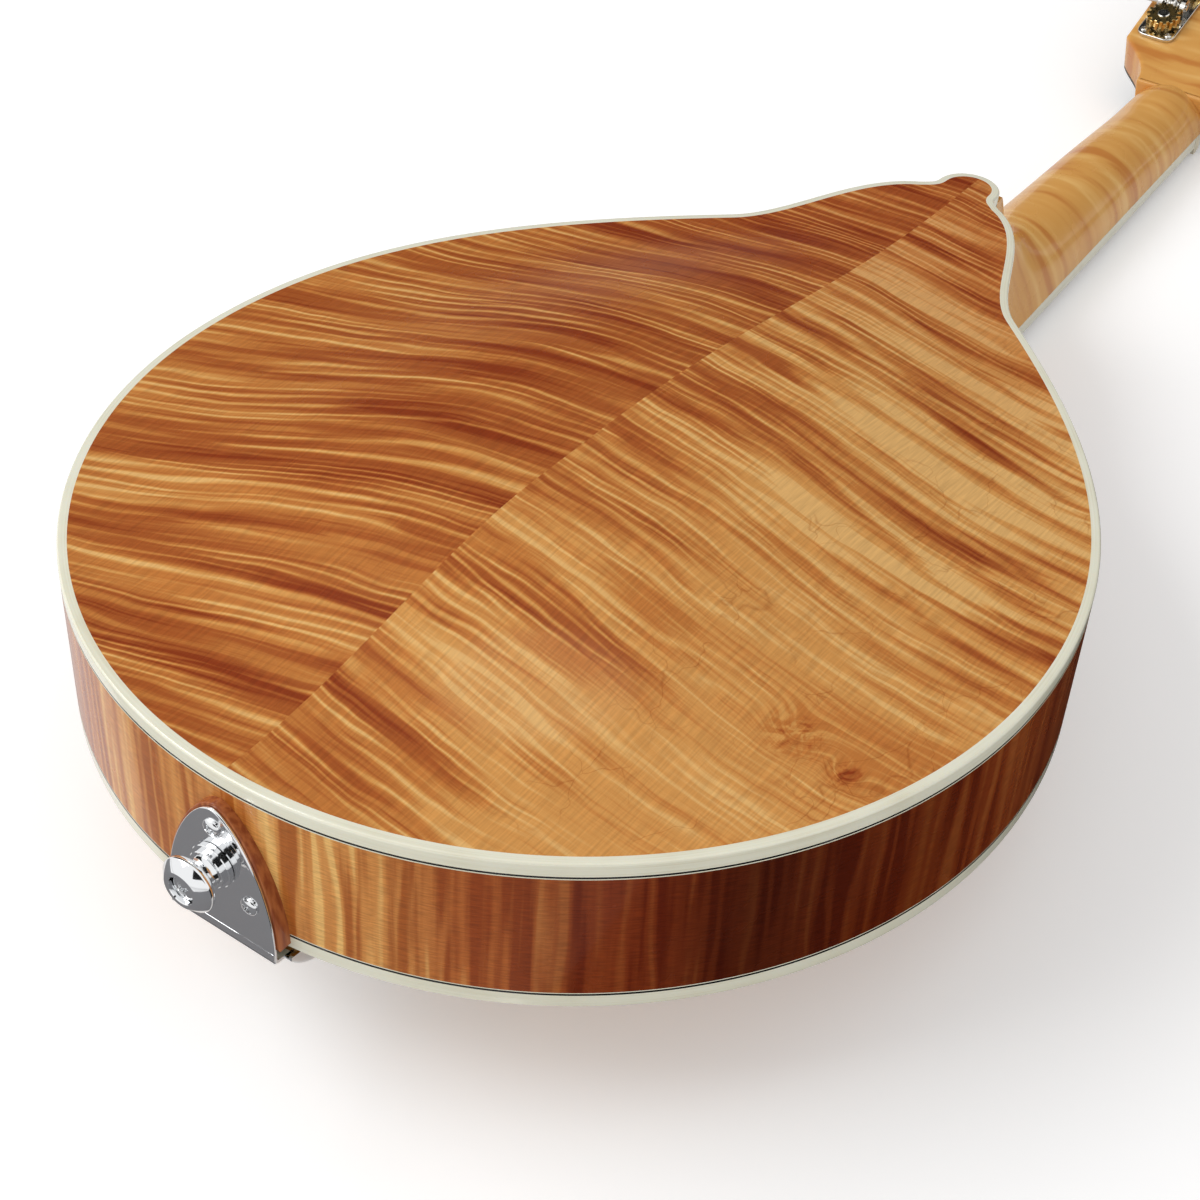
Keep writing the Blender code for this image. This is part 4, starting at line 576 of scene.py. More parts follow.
ivoroid, tree, shader = shaded("ivoroid", Roughness=0.22, Coat_Weight=0.6, Coat_Roughness=0.06)
lie = put(tree, "UVMap", uv_map="lie")
layers = streaks(tree, lie, 12.0, 2600.0, 3.0)
cloud = grit(tree, 60.0, 3.0)
mixed = linear(tree, layers, 0.6, times(tree, cloud, 0.4))
feed(tree, shader["Base Color"], steps(tree, mixed, (0.30, (0.78, 0.74, 0.56)), (0.55, (0.88, 0.86, 0.70)),
                                       (0.75, (0.92, 0.91, 0.80))))
shader["Subsurface Weight"].default_value = 0.08
shader["Subsurface Radius"].default_value = (0.002, 0.0015, 0.001)
black_line, _, _ = shaded("black_line", Base_Color=(0.012, 0.010, 0.009, 1), Roughness=0.25, Coat_Weight=0.5)


def hoop(line, run, outward, section):
    """A closed section of (inset, z) carried round a closed line, with (length, way round it) as its uv."""
    section = np.array(section + section[:1], float)
    flat = line[None] - outward[None] * section[:, 0][:, None, None]
    z = np.broadcast_to(section[:, 1][:, None, None], flat.shape[:2] + (1,))
    u, v = np.meshgrid(run, lengths(section))
    return np.concatenate([flat, z], -1), np.stack([u, v], -1)


def rounded_edge(radius, edge_z, side, count=7):
    """The outer corner of a binding as a quarter circle, from the rim's face to the plate's."""
    t = np.linspace(0, pi / 2, count)
    return [(radius - radius * cos(a), edge_z - side * (radius - radius * sin(a))) for a in t]


CREAM, BLACK = 0.0003, 0.0009  # how far the cream strip and then the black one reach
RIM_LOW, RIM_HIGH = TOP_EDGE + 0.0004, DEPTH - BACK_EDGE - 0.0009
for name, line, run, outward, edge_z, side, low in (
    ("back_binding", BACK, BACK_RUN, BACK_OUT, DEPTH, 1, RIM_HIGH),
    ("top_binding", BODY, BODY_RUN, BODY_OUT, 0, -1, RIM_LOW),
):
    cream, black = low + side * CREAM, low + side * BLACK
    strip = [(0, black)] + rounded_edge(0.0007, edge_z, side) + [(BINDING, edge_z), (BINDING, black)]
    strip, strip_uv = hoop(line, run, outward, strip)
    seam, seam_uv = hoop(line, run, outward, [(0.00003, cream), (0.00003, black), (BINDING, black),
                                              (BINDING, cream)])
    pale, pale_uv = hoop(line, run, outward, [(0.00003, low), (0.00003, cream), (BINDING, cream),
                                              (BINDING, low)])
    made = grid_piece(name + "_strip", [(strip, 0, strip_uv)], [ivoroid])
    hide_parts(name)
    made = grid_piece(name + "_lines", [(seam, 0, seam_uv), (pale, 1, pale_uv)], [black_line, ivoroid])


# RIM
# Two strips of flamed maple 2.5 mm thick, bent on a hot iron round the mould. The flame stands across
# the strip. Golden at the tail, it turns to a deep red-brown along the flanks: partly a red-brown stain,
# partly painted shade on the flanks, which face away from the light.

rim_maple, tree, shader = shaded("rim_maple")
lie = put(tree, "UVMap", uv_map="lie")
length, height_up, _ = apart(tree, lie)
figure = use(tree, "flame_figure", Place=put(tree, "CombineXYZ", height_up, length, 0.0),
             Bands=120.0, Lines=215.0, Length=0.12, Wander=0.002, Seed=5.2)
shade = linear(tree, figure["Line"], 0.50, linear(tree, figure["Band"], 2.2, -0.80))
shade = linear(tree, less(tree, figure["Thread"], 0.5), 0.5, shade)
golden = steps(tree, shade, (0.05, (0.44, 0.125, 0.020)), (0.42, (0.68, 0.285, 0.070)),
               (0.85, (0.88, 0.520, 0.170)))
whole = float(BODY_RUN[-1])
from_tail = calc(tree, "MINIMUM", length, less(tree, whole, length))
# Golden at the tail, deep red-brown along the flanks: partly stain, partly painted shade of the flanks.
stain_and_painted_shade = steps(tree, calc(tree, "DIVIDE", from_tail, 0.40), (0.0, (1, 1, 1)), (0.09, (0.97, 0.94, 0.9)),
              (0.15, (0.70, 0.45, 0.34)), (0.22, (0.34, 0.12, 0.06)), (0.30, (0.14, 0.045, 0.020)),
              (0.40, (0.24, 0.085, 0.035)), (0.50, (0.38, 0.16, 0.09)), (0.80, (0.42, 0.20, 0.14)))
colour = blended(tree, 1.0, golden, stain_and_painted_shade, "MULTIPLY")
silk = ranged(tree, streaks(tree, lie, 260.0, 2400.0, 2.0), 0.32, 0.68, 0.80, 1.14)
colour = blended(tree, 1.0, colour, put(tree, "CombineColor", silk, silk, silk), "MULTIPLY")
feed(tree, shader["Base Color"], colour)
lacquered(tree, shader, use(tree, "instrument_place")["Place"])

low, high = RIM_LOW, RIM_HIGH
section = [(0, low), (0, high), (0.0025, high), (0.0025, low)]
rows, rows_uv = hoop(BODY, BODY_RUN, BODY_OUT, section)
rows_uv[..., 1] = np.array([low, high, high, low, low])[:, None]
rim = grid_piece("rim_strip", [(rows[:2], 0, rows_uv[:2]), (rows[1:], 1, rows_uv[1:])],
                 [rim_maple, bare_maple])
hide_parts("rim")


# BLOCKS, LININGS AND BRACE
# Spruce and willow pieces inside the body: a block at each end, a strip along both inner edges of the
# rim and a bar glued across the inside of the top. They are left bare, as cut and sanded.

bare_spruce, tree, shader = shaded("bare_spruce", Roughness=0.8)
place = use(tree, "instrument_place")["Place"]
ring = streaks(tree, place, 620.0, 9.0, 3.0)
feed(tree, shader["Base Color"], steps(tree, ring, (0.30, (0.50, 0.33, 0.17)), (0.50, (0.68, 0.50, 0.30)),
                                       (0.75, (0.74, 0.58, 0.37))))


def refinish(node, finish):
    """Gives a CAD node another material."""
    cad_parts[node].data.materials.clear()
    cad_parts[node].data.materials.append(finish)


for name in ("neck_block", "tail_block", "back_lining", "top_lining", "top_brace"):
    refinish(name, bare_spruce)


# TOP
# Spruce carved to an arch 14 mm high and 4.4 mm thick at the edge, with an oval soundhole under the
# strings. Rings of black and cream strip are let in round the hole, and the whole is lacquered amber.

top_spruce, tree, shader = shaded("top_spruce")
place = use(tree, "instrument_place")["Place"]
ring = put(tree, "TexNoise", scaled(tree, place, 700.0, 7.0), Scale=1.0, Detail=4.0, Roughness=0.6)
silk = streaks(tree, place, 90.0, 260.0, 2.0)
shade = linear(tree, silk, 0.18, times(tree, ring, 0.85))
grain = steps(tree, shade, (0.34, (0.40, 0.17, 0.035)), (0.48, (0.60, 0.31, 0.075)),
              (0.60, (0.68, 0.40, 0.12)),
              (0.78, (0.72, 0.46, 0.16)))
x, y, _ = apart(tree, place)
out_x, out_y = calc(tree, "DIVIDE", x, 0.127), calc(tree, "DIVIDE", less(tree, y, 0.14), 0.17)
reach = calc(tree, "SQRT", linear(tree, out_x, out_x, times(tree, out_y, out_y)))
burst = steps(tree, reach, (0.62, (1, 1, 1)), (0.88, (0.86, 0.66, 0.50)), (1.0, (0.62, 0.36, 0.24)))
feed(tree, shader["Base Color"], blended(tree, 1.0, grain, burst, "MULTIPLY"))
lacquered(tree, shader, place)

inlay_cream, _, _ = shaded("inlay_cream", Base_Color=(0.78, 0.70, 0.48, 1), Roughness=0.25, Coat_Weight=0.6)
inlay_black, _, _ = shaded("inlay_black", Base_Color=(0.014, 0.011, 0.010, 1), Roughness=0.25,
                           Coat_Weight=0.6)

HOLE = np.array((0, 0.2285))
HOLE_HALF = np.array((0.030, 0.021))
edge_line = BODY - BODY_OUT * BINDING
turn = np.unwrap(np.arctan2(edge_line[:, 1] - HOLE[1], edge_line[:, 0] - HOLE[0]))
round_hole = np.column_stack([np.cos(turn), np.sin(turn)])
bands = np.array((0, 0.0030, 0.0034, 0.0042, 0.0046, 0.0076, 0.0080, 0.0088, 0.0092, 0.0115))
rings = [HOLE + round_hole * (HOLE_HALF + band) for band in bands]
start = rings[-1]
rings += [start + share * (edge_line - start) for share in np.linspace(0, 1, 50)[1:] ** 1.1]
rings = np.array(rings)
height = arch(rings[..., 0], rings[..., 1], 0.0140)
outer = np.concatenate([rings, -height[..., None]], -1)
inner = np.concatenate([rings, (TOP_EDGE - height)[..., None]], -1)
colours = [0, 2, 3, 2, 0, 2, 3, 2, 0]
patches = [(outer[k:k + 2], colour) for k, colour in enumerate(colours)]
patches += [(outer[len(colours):], 0), (np.stack([outer[-1], inner[-1]]), 1), (inner, 1),
            (np.stack([inner[0], outer[0]]), 1)]
top = grid_piece("top_plate", patches, [top_spruce, bare_spruce, inlay_black, inlay_cream])
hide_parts("top")


# NECK
# One piece of flamed maple. Its round shaft runs out of the headstock, deepens to a heel under the
# back's button and is let into the body; a lower wedge carries the fingerboard over the top.

NUT_Y, PITCH = 0.5115, radians(3.58)
neck_place = lying @ Matrix.Translation((0, NUT_Y, -0.0049887)) @ Matrix.Rotation(PITCH, 4, "X")
to_body = np.array(lying.inverted() @ neck_place)
SCALE = 0.352
BOARD_END = -0.24406
UNDER_BOARD = 0.0051


def through(x, places, values):
    """A smooth line through given values: a cubic between each two, with the mean of both slopes."""
    places, values = np.array(places, float), np.array(values, float)
    rise = np.diff(values) / np.diff(places)
    slope = np.concatenate([rise[:1], (rise[:-1] + rise[1:]) / 2, rise[-1:]])
    slope[1:-1][rise[:-1] * rise[1:] <= 0] = 0
    k = np.clip(np.searchsorted(places, x) - 1, 0, len(rise) - 1)
    gap = places[k + 1] - places[k]
    t = np.clip((x - places[k]) / gap, 0, 1)
    return ((1 + 2 * t) * (1 - t) ** 2 * values[k] + t * (1 - t) ** 2 * gap * slope[k]
            + t**2 * (3 - 2 * t) * values[k + 1] + t**2 * (t - 1) * gap * slope[k + 1])


def board_half(y):
    """Half the fingerboard's width, which grows evenly from the nut."""
    return 0.0143 - y * 0.009 / SCALE


def both_sides(right):
    """Rows of a right side run on round its mirror image and back to their first point."""
    return np.concatenate([right, right[:, ::-1] * (-1, 1, 1), right[:, :1]], 1)


def ended(rows):
    """Closed rows with a row at their middle before the first and after the last, which caps both ends."""
    first, last = (np.broadcast_to(row[:-1].mean(0), row.shape) for row in (rows[0], rows[-1]))
    return np.concatenate([first[None], rows, last[None]])


neck_maple, tree, shader = shaded("neck_maple")
place = use(tree, "instrument_place")["Place"]
x, y, z = apart(tree, place)
figure = use(tree, "flame_figure", Place=put(tree, "CombineXYZ", x, linear(tree, z, 0.35, y), z),
             Bands=120.0, Lines=150.0, Length=0.05, Wander=0.012, Seed=9.1)
shade = linear(tree, figure["Line"], 0.16, linear(tree, figure["Band"], 1.3, -0.05))
golden = steps(tree, shade, (0.38, (0.60, 0.230, 0.050)), (0.62, (0.74, 0.370, 0.095)),
               (0.88, (0.84, 0.490, 0.160)))
feed(tree, shader["Base Color"], golden)
lacquered(tree, shader, place)

y = np.concatenate([np.linspace(-0.1815, -0.115, 60), np.linspace(-0.112, 0.0045, 50)[1:],
                    np.linspace(0.0055, 0.0185, 10)])
places = (-0.182, -0.1675, -0.1607, -0.1543, -0.1442, -0.1313, -0.1175, -0.056, -0.0224, 0.0045, 0.0055,
          0.0121, 0.0185)
deep = through(y, places, (0.0605, 0.0605, 0.0484, 0.0363, 0.0275, 0.0227, 0.0205, 0.0180, 0.0159, 0.0150,
                           0.0143,
                           0.0105, 0.0040))
heel = through(y, places, (1, 1, 0.97, 0.80, 0.50, 0.20, 0, 0, 0, 0, 0, 0, 0))
face = UNDER_BOARD + np.clip(y - 0.0045, 0, 1) * tan(radians(14))
half = board_half(y) * (1 - np.clip(y - 0.0045, 0, 1) * 18)
share = np.sin(np.linspace(0, pi / 2, 22))
round_side = half[:, None] * (1 - share**2.15) ** 0.5
heel_side = 0.0088 + (half[:, None] - 0.0088) * (1 - share) ** 1.6
side = (1 - heel[:, None]) * round_side + heel[:, None] * heel_side
z = face[:, None] + deep[:, None] * share
rows = moved(both_sides(grid_of(side, y[:, None], z)), to_body)
nose = RIGHT_SIDE[RIGHT_SIDE[:, 1] > 0.26][::-1]
rows[..., 1] = np.maximum(rows[..., 1], np.interp(np.abs(rows[..., 0]), nose[:, 0], nose[:, 1]) - 0.0012)
rows[..., 2] = np.minimum(rows[..., 2], DEPTH - BACK_EDGE - 0.0001)
shaft = grid_piece("neck_shaft", [(ended(rows), 0)], [neck_maple], sharp=50)

y = np.linspace(BOARD_END + 0.0004, -0.172, 40)
x = board_half(y)[:, None] * np.linspace(1, -1, 15)
under = moved(grid_of(x, y[:, None], UNDER_BOARD), to_body)
seat = under.copy()
seat[..., 2] = 0.0002 - arch(seat[..., 0], seat[..., 1], 0.0140)
rows = np.concatenate([under, seat[:, ::-1], under[:, :1]], 1)
wedge = grid_piece("neck_wedge", [(ended(rows), 0)], [neck_maple])
for made in (shaft, wedge):
    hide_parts("neck")


# HEADSTOCK
# The flat end of the same piece of maple, 14.5 mm thick, leaning back by 14 degrees. It flares from the
# nut to a plain rounded crown, and an ebony veneer 1.5 mm thick covers its front.

head_place = neck_place @ Matrix.Translation((0, 0.0051, 0.005)) @ Matrix.Rotation(radians(14), 4, "X")
HEAD_THICK = 0.0148

flare = bezier((0.0143, 0), (0.0148, 0.0121), (0.0245, 0.0158), (0.029, 0.022), 24)
crown = bezier((0.0325, 0.126), (0.0335, 0.1428), (0.0195, 0.150), (0, 0.150), 34)
HEAD_LINE, _, HEAD_OUT = round_trip(np.concatenate([[(0, 0)], flare, crown]), 361)


def slab(line, outward, profile, middle_x=0):
    """A flat piece: its outline moved in by each inset at each z, closed at both ends.

    Each point of an end row runs straight across to the centre's x, so a waisted outline isn't crossed.
    """
    profile = [(profile[0][0] + 0.0004, profile[0][1]), *profile, (profile[-1][0] + 0.0004, profile[-1][1])]
    rows = [np.column_stack([line - outward * inset, np.full(len(line), z)]) for inset, z in profile]
    ends = [row * (0, 1, 1) + (middle_x, 0, 0) for row in (rows[0], rows[-1])]
    return np.array([ends[0], *rows, ends[1]])


def rounded_sides(low, high, low_round, high_round, count=5):
    """A profile of (inset, z) from low to high whose two edges are quarter circles."""
    t = np.linspace(0, pi / 2, count)
    first = [(low_round * (1 - sin(a)), low + low_round * (1 - cos(a))) for a in t]
    last = [(high_round * (1 - cos(a)), high - high_round * (1 - sin(a))) for a in t]
    return first + last


ebony, tree, shader = shaded("ebony")
place = use(tree, "instrument_place")["Place"]
pore = streaks(tree, place, 1500.0, 60.0, 3.0)
feed(tree, shader["Base Color"], steps(tree, pore, (0.35, (0.010, 0.007, 0.006)),
                                       (0.55, (0.026, 0.018, 0.014)),
                                       (0.75, (0.060, 0.040, 0.028))))
feed(tree, shader["Roughness"], ranged(tree, pore, 0.3, 0.7, 0.50, 0.34))
feed(tree, shader["Normal"], put(tree, "Bump", Height=pore, Strength=0.35, Distance=0.00006))

lacquered_ebony, tree, shader = shaded("lacquered_ebony", Base_Color=(0.012, 0.009, 0.008, 1))
lacquered(tree, shader, use(tree, "instrument_place")["Place"])

rows = slab(HEAD_LINE, HEAD_OUT, rounded_sides(0, HEAD_THICK, 0.0001, 0.0013))
head = grid_piece("headstock", [(rows, 0)], [neck_maple], at=head_place)
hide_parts("neck")
rows = slab(HEAD_LINE, HEAD_OUT, rounded_sides(-0.0015, -0.0001, 0.0004, 0.0001))
veneer = grid_piece("headstock_face", [(rows, 0)], [lacquered_ebony], at=head_place)
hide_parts("headstock_veneer")

bell = np.concatenate([[(0, 0)], bezier((0.010, 0), (0.010, 0.018), (0.0045, 0.030), (0, 0.030), 30)])
bell_line, _, bell_out = round_trip(bell, 121)
cover_place = head_place @ Matrix.Translation((0, 0.001, 0))
rows = slab(bell_line, bell_out, rounded_sides(-0.0033, -0.0018, 0.0006, 0.0001))
cover = grid_piece("rod_cover", [(rows, 0)], [lacquered_ebony], at=cover_place)
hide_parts("truss_rod_cover")


# FINGERBOARD
# A tapered ebony board 5 mm thick, edged with cream ivoroid, with twenty nickel-silver frets hammered
# into its slots and round pearl dots let in as position marks. It is glued on the neck.

fret_y = -SCALE * (1 - 2.0 ** (-np.arange(21) / 12))
EDGING = 0.0015
BOARD_THICK = 0.005

y = np.linspace(-0.0002, BOARD_END + EDGING, 60)
side_z, drop = np.array((BOARD_THICK, 0.0001, 0)), np.array((0, 0, 0.0001))
rows = both_sides(grid_of(board_half(y)[:, None] - EDGING - drop, y[:, None], side_z))
board = grid_piece("fingerboard_wood", [(ended(rows), 0)], [ebony], at=neck_place)
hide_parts("fingerboard")

fret_wire, tree, shader = shaded("fret_wire", Base_Color=(0.62, 0.60, 0.56, 1), Metallic=1.0)
scuff = grit(tree, 2500.0, 3.0)
feed(tree, shader["Roughness"], ranged(tree, scuff, 0.3, 0.7, 0.16, 0.32))

patches = []
t = np.linspace(0, pi, 9)
for y in fret_y[1:]:
    half = board_half(y) - 0.0004
    x = half * np.array((-1, -0.992, -0.975, -0.5, 0, 0.5, 0.975, 0.992, 1))
    crown = 0.0010 * np.array((0.02, 0.55, 0.93, 1, 1, 1, 0.93, 0.55, 0.02))
    rows = grid_of(x[:, None], y + 0.0008 * np.cos(t), -np.outer(crown, np.sin(t)) + 0.00002)
    patches.append((ended(np.concatenate([rows, rows[:, :1]], 1)), 0))
frets = grid_piece("frets", patches, [fret_wire], at=neck_place)

pearl, tree, shader = shaded("pearl", Roughness=0.18, Coat_Weight=0.7, Coat_Roughness=0.05)
cells = put(tree, "TexVoronoi", put(tree, "TexCoord", out=3), Scale=420.0, out=1)
swirl = grit(tree, 160.0, 4.0, Distortion=1.5)
tone = steps(tree, swirl, (0.30, (0.62, 0.64, 0.62)), (0.50, (0.82, 0.82, 0.78)), (0.70, (0.90, 0.86, 0.84)))
feed(tree, shader["Base Color"], blended(tree, 0.10, tone, cells, "OVERLAY"))


def disc(x, y, radius, z):
    """A thin round inlay: rings from its middle out and down its edge."""
    t = np.linspace(0, 2 * pi, 25)
    r = radius * np.array((0, 0.6, 0.97, 1, 1))[:, None]
    return grid_of(x + r * np.cos(t), y + r * np.sin(t), z + np.array((0, 0, 0, 0.00002, 0.0004))[:, None])


patches = []
for fret, spots in ((5, (0,)), (7, (0,)), (10, (0,)), (12, (-0.0062, 0.0062)), (15, (0,))):
    middle = (fret_y[fret] + fret_y[fret - 1]) / 2
    patches += [(disc(x, middle, 0.0021, -0.00005), 0) for x in spots]
dots = grid_piece("position_dots", patches, [pearl], at=neck_place, closed=False)

outer = np.array([(board_half(-0.0003), -0.0003), (board_half(BOARD_END), BOARD_END),
                  (-board_half(BOARD_END), BOARD_END), (-board_half(-0.0003), -0.0003)])
inner_end = BOARD_END + EDGING
inner = np.array([(board_half(-0.0003) - EDGING, -0.0003), (board_half(inner_end) - EDGING, inner_end),
                  (EDGING - board_half(inner_end), inner_end), (EDGING - board_half(-0.0003), -0.0003)])
along = np.repeat(np.arange(3), 40) + np.tile(np.linspace(0, 1, 40), 3)
outer, inner = (np.column_stack([np.interp(along, np.arange(4), line[:, k]) for k in (0, 1)])
                for line in (outer, inner))
softened = [(0.0005 * (1 - cos(a)), 0.0005 * (1 - sin(a))) for a in np.linspace(0.3, pi / 2, 5)]
section = np.array([(0, BOARD_THICK), (0, 0.0005), *softened, (EDGING, 0), (EDGING, BOARD_THICK),
                    (0, BOARD_THICK)])
share = (section[:, 0] / EDGING)[:, None, None]
rows = np.concatenate([outer + share * (inner - outer),
                       np.broadcast_to(section[:, 1][:, None, None], (len(section), len(outer), 1))], -1)
u, v = np.meshgrid(lengths(outer), lengths(section))
ends = rows.transpose(1, 0, 2)
caps = [(np.stack([np.broadcast_to(end[:-1].mean(0), end.shape), end]), 0) for end in (ends[0], ends[-1])]
edging = grid_piece("fingerboard_edging", [(rows, 0, np.stack([u, v], -1)), *caps], [ivoroid], at=neck_place)
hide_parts("fingerboard_binding")


# NUT
# A bone block at the end of the fingerboard with a slot for each string, shaped and polished by hand.

bone, tree, shader = shaded("bone", Roughness=0.32, Coat_Weight=0.3)
place = use(tree, "instrument_place")["Place"]
streak = streaks(tree, place, 60.0, 900.0, 3.0)
feed(tree, shader["Base Color"], steps(tree, streak, (0.35, (0.70, 0.62, 0.44)), (0.60, (0.84, 0.78, 0.62))))
shader["Subsurface Weight"].default_value = 0.1
shader["Subsurface Radius"].default_value = (0.002, 0.0012, 0.0008)
refinish("nut", bone)


# BRIDGE
# An ebony foot fitted to the arch carries two threaded posts. Knurled brass wheels on them hold the
# saddle, whose crest is cut back or forward under each pair of strings to bring them in tune.

BRIDGE_Y = NUT_Y - SCALE
FOOT_TOP = -0.0140 - 0.0003 - 0.0050
SADDLE_UNDER = FOOT_TOP - 0.0015 - 0.0022 - 0.0006
CREST = float(moved((0, -SCALE, -0.0015 - 0.0012 * 2), to_body)[2]) + 0.0003 - 0.00051

x = np.linspace(-0.056, 0.056, 121)
low = np.maximum(arch(x, BRIDGE_Y - 0.0052, 0.0140), arch(x, BRIDGE_Y + 0.0052, 0.0140))
seat = -low - 0.0001
flat = np.clip((np.abs(x) - 0.0345) / 0.0215, 0, 1)
crown = (1 - flat) * FOOT_TOP + flat * (seat - 0.0028)
crown -= 0.0008 * np.sin(pi * flat)
t = np.linspace(0, pi / 2, 6)
half = 0.00525 - 0.0006 * flat
right = np.array([(1.0, 0.0)] + [(1 - 0.17 * (1 - cos(a)), 1 - 0.19 * (1 - sin(a))) for a in t])
ring = np.concatenate([right, right[::-1] * (-1, 1), right[:1]])
rows = grid_of(x[:, None], BRIDGE_Y + half[:, None] * ring[:, 0],
               seat[:, None] + (crown - seat)[:, None] * ring[:, 1])
foot = grid_piece("bridge_foot_wood", [(ended(rows), 0)], [ebony])
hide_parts("bridge_foot")

post_steel, tree, shader = shaded("post_steel", Base_Color=(0.55, 0.55, 0.57, 1), Metallic=1.0)
scuff = grit(tree, 1800.0, 3.0)
feed(tree, shader["Roughness"], ranged(tree, scuff, 0.3, 0.7, 0.20, 0.38))
brass, tree, shader = shaded("brass", Metallic=1.0)
tarnish = grit(tree, 500.0, 4.0)
feed(tree, shader["Base Color"], steps(tree, tarnish, (0.35, (0.46, 0.31, 0.11)), (0.65, (0.72, 0.54, 0.24))))
feed(tree, shader["Roughness"], ranged(tree, tarnish, 0.3, 0.7, 0.36, 0.20))

POST_APART, POST_THREAD = 0.052, 0.0007
WHEEL_R, KNURLS = 0.0070, 18
t = np.linspace(0, 2 * pi, 33)
wheel_t = np.linspace(0, 2 * pi, KNURLS * 8 + 1)
knurl = WHEEL_R - 0.00045 * (0.5 - 0.5 * np.cos(KNURLS * wheel_t)) ** 2
# (radius, z) from the bore round: a radius of 0 or less is an inset from the knurled rim.
wheel_r, wheel_z = np.array((
    (0.0020, 0.0), (0.0030, 0.0), (-0.0004, 0.0), (0.0, 0.0003), (0.0, 0.0019), (-0.0004, 0.0022),
    (0.0030, 0.0022), (0.0020, 0.0022), (0.0020, 0.0)))[..., None].transpose(1, 0, 2)
wheel_r = np.where(wheel_r <= 0, knurl + wheel_r, wheel_r)
for sign, label in ((1, "bass"), (-1, "treble")):
    z = np.linspace(SADDLE_UNDER - 0.0022, FOOT_TOP + 0.0036, 121)[:, None]
    radius = 0.0016 + 0.00010 * np.cos(2 * pi * z / POST_THREAD - t)
    x = sign * POST_APART / 2
    rows = grid_of(x + radius * np.cos(t), BRIDGE_Y + radius * np.sin(t), z)
    post = grid_piece("bridge_screw_" + label, [(ended(rows), 0)], [post_steel])
    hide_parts("bridge_post_" + label)
    rings = grid_of(x + wheel_r * np.cos(wheel_t), BRIDGE_Y + wheel_r * np.sin(wheel_t),
                    SADDLE_UNDER + 0.0003 + wheel_z)
    wheel = grid_piece("wheel_" + label, [(rings, 0)], [brass], body="wheel_" + label)
    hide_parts("thumbwheel_" + label)

x = np.linspace(-0.033, 0.033, 241)
stepped = CREST + 0.0028
relief = 0.0012 * np.clip((0.019 - np.abs(x)) / 0.003, 0, 1)
low = SADDLE_UNDER - relief
high = stepped + (SADDLE_UNDER - 0.0015 - stepped) * np.clip((np.abs(x) - 0.0282) / 0.0048, 0, 1)
ring = np.array([(1, 0), (1, 0.82), (0.96, 0.93), (0.86, 1), (-0.86, 1), (-0.96, 0.93), (-1, 0.82),
                 (-1, 0), (1, 0)])
rows = grid_of(x[:, None], BRIDGE_Y + 0.0030 * ring[:, 0], low[:, None] + (high - low)[:, None] * ring[:, 1])
patches = [(ended(rows), 0)]
STRINGS = []
SPREAD = (0.0364, 0.0208)
for number in range(8):
    course, second = divmod(number, 2)
    pair, step = 0.5 - second, 1.5 - course
    STRINGS.append((f"string_{'gdae'[course]}_{second + 1}", course, (3.5 - number) * 0.0032,
                    step * SPREAD[0] / 3 + pair * 0.0026, step * SPREAD[1] / 3 + pair * 0.0021))
THICK = (0.00102, 0.00066, 0.00038, 0.00028)
SET_BACK = (-0.0012, 0.0010, -0.0006, 0.0012)
for course, shift in enumerate(SET_BACK):
    middle = (1.5 - course) * SPREAD[0] / 3
    x = middle + np.linspace(-1, 1, 97) * (SPREAD[0] / 6 - 0.0001)
    notch = sum(np.exp(-(((x - seat_x) / (THICK[course] * 0.62)) ** 4))
                for _, c, _, seat_x, _ in STRINGS if c == course)
    top_z = CREST + notch * (THICK[course] - 0.0001)
    t = np.linspace(0, pi, 9)
    y = BRIDGE_Y + shift + 0.0013 * np.cos(t)
    z = top_z[:, None] + 0.0009 * (1 - np.sin(t))
    crest = grid_of(x[:, None], y, z)
    skirt = crest[:, [0, -1]].copy()
    skirt[..., 2] = stepped + 0.0006
    rows = np.concatenate([skirt[:, :1], crest, skirt[:, 1:], skirt[:, :1]], 1)
    patches.append((ended(rows), 0))
saddle = grid_piece("saddle", patches, [ebony], body="saddle", sharp=30)
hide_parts("bridge_saddle")


# TAIL PLATE
# A pointed plate of chromed brass stands on a red-brown wooden wedge at the tail, held by three
# cross-head screws. Its leg bends round the edge under the top and carries eight hooks for the strings.

chrome, tree, shader = shaded("chrome", Base_Color=(0.86, 0.87, 0.88, 1), Metallic=1.0)
haze = grit(tree, 220.0, 4.0)
fine = grit(tree, 4000.0, 2.0)
feed(tree, shader["Roughness"], ranged(tree, haze, 0.35, 0.75, 0.045, 0.12))
feed(tree, shader["Normal"], put(tree, "Bump", Height=fine, Strength=0.04, Distance=0.00001))
shim_wood, tree, shader = shaded("shim_wood")
place = use(tree, "instrument_place")["Place"]
pore = put(tree, "TexNoise", scaled(tree, place, 120.0, 120.0), Scale=6.0, Detail=4.0)
feed(tree, shader["Base Color"], steps(tree, pore, (0.35, (0.28, 0.065, 0.018)),
                                       (0.65, (0.45, 0.140, 0.040))))
lacquered(tree, shader, place, dull=0.2)

PLATE_IN, PLATE_THICK = 0.0025, 0.0009
PLATE_HALF, PLATE_TIP, PLATE_LOW = 0.0158, 0.0365, -0.0015 - 0.0009 * 0.6
tail_place = lying @ Matrix(((1, 0, 0, 0), (0, 0, -1, 0), (0, 1, 0, 0), (0, 0, 0, 1)))  # z out of the tail


def plate_line(margin, bottom):
    """The plate's half outline, from the middle of its straight foot round to its tip."""
    wide, tip = PLATE_HALF + margin, PLATE_TIP + margin
    curve = bezier((wide, 0.002), (wide * 0.985, PLATE_TIP * 0.56), (wide * 0.35, tip), (0, tip), 50)
    return np.concatenate([[(0, bottom), (wide, bottom)], curve])


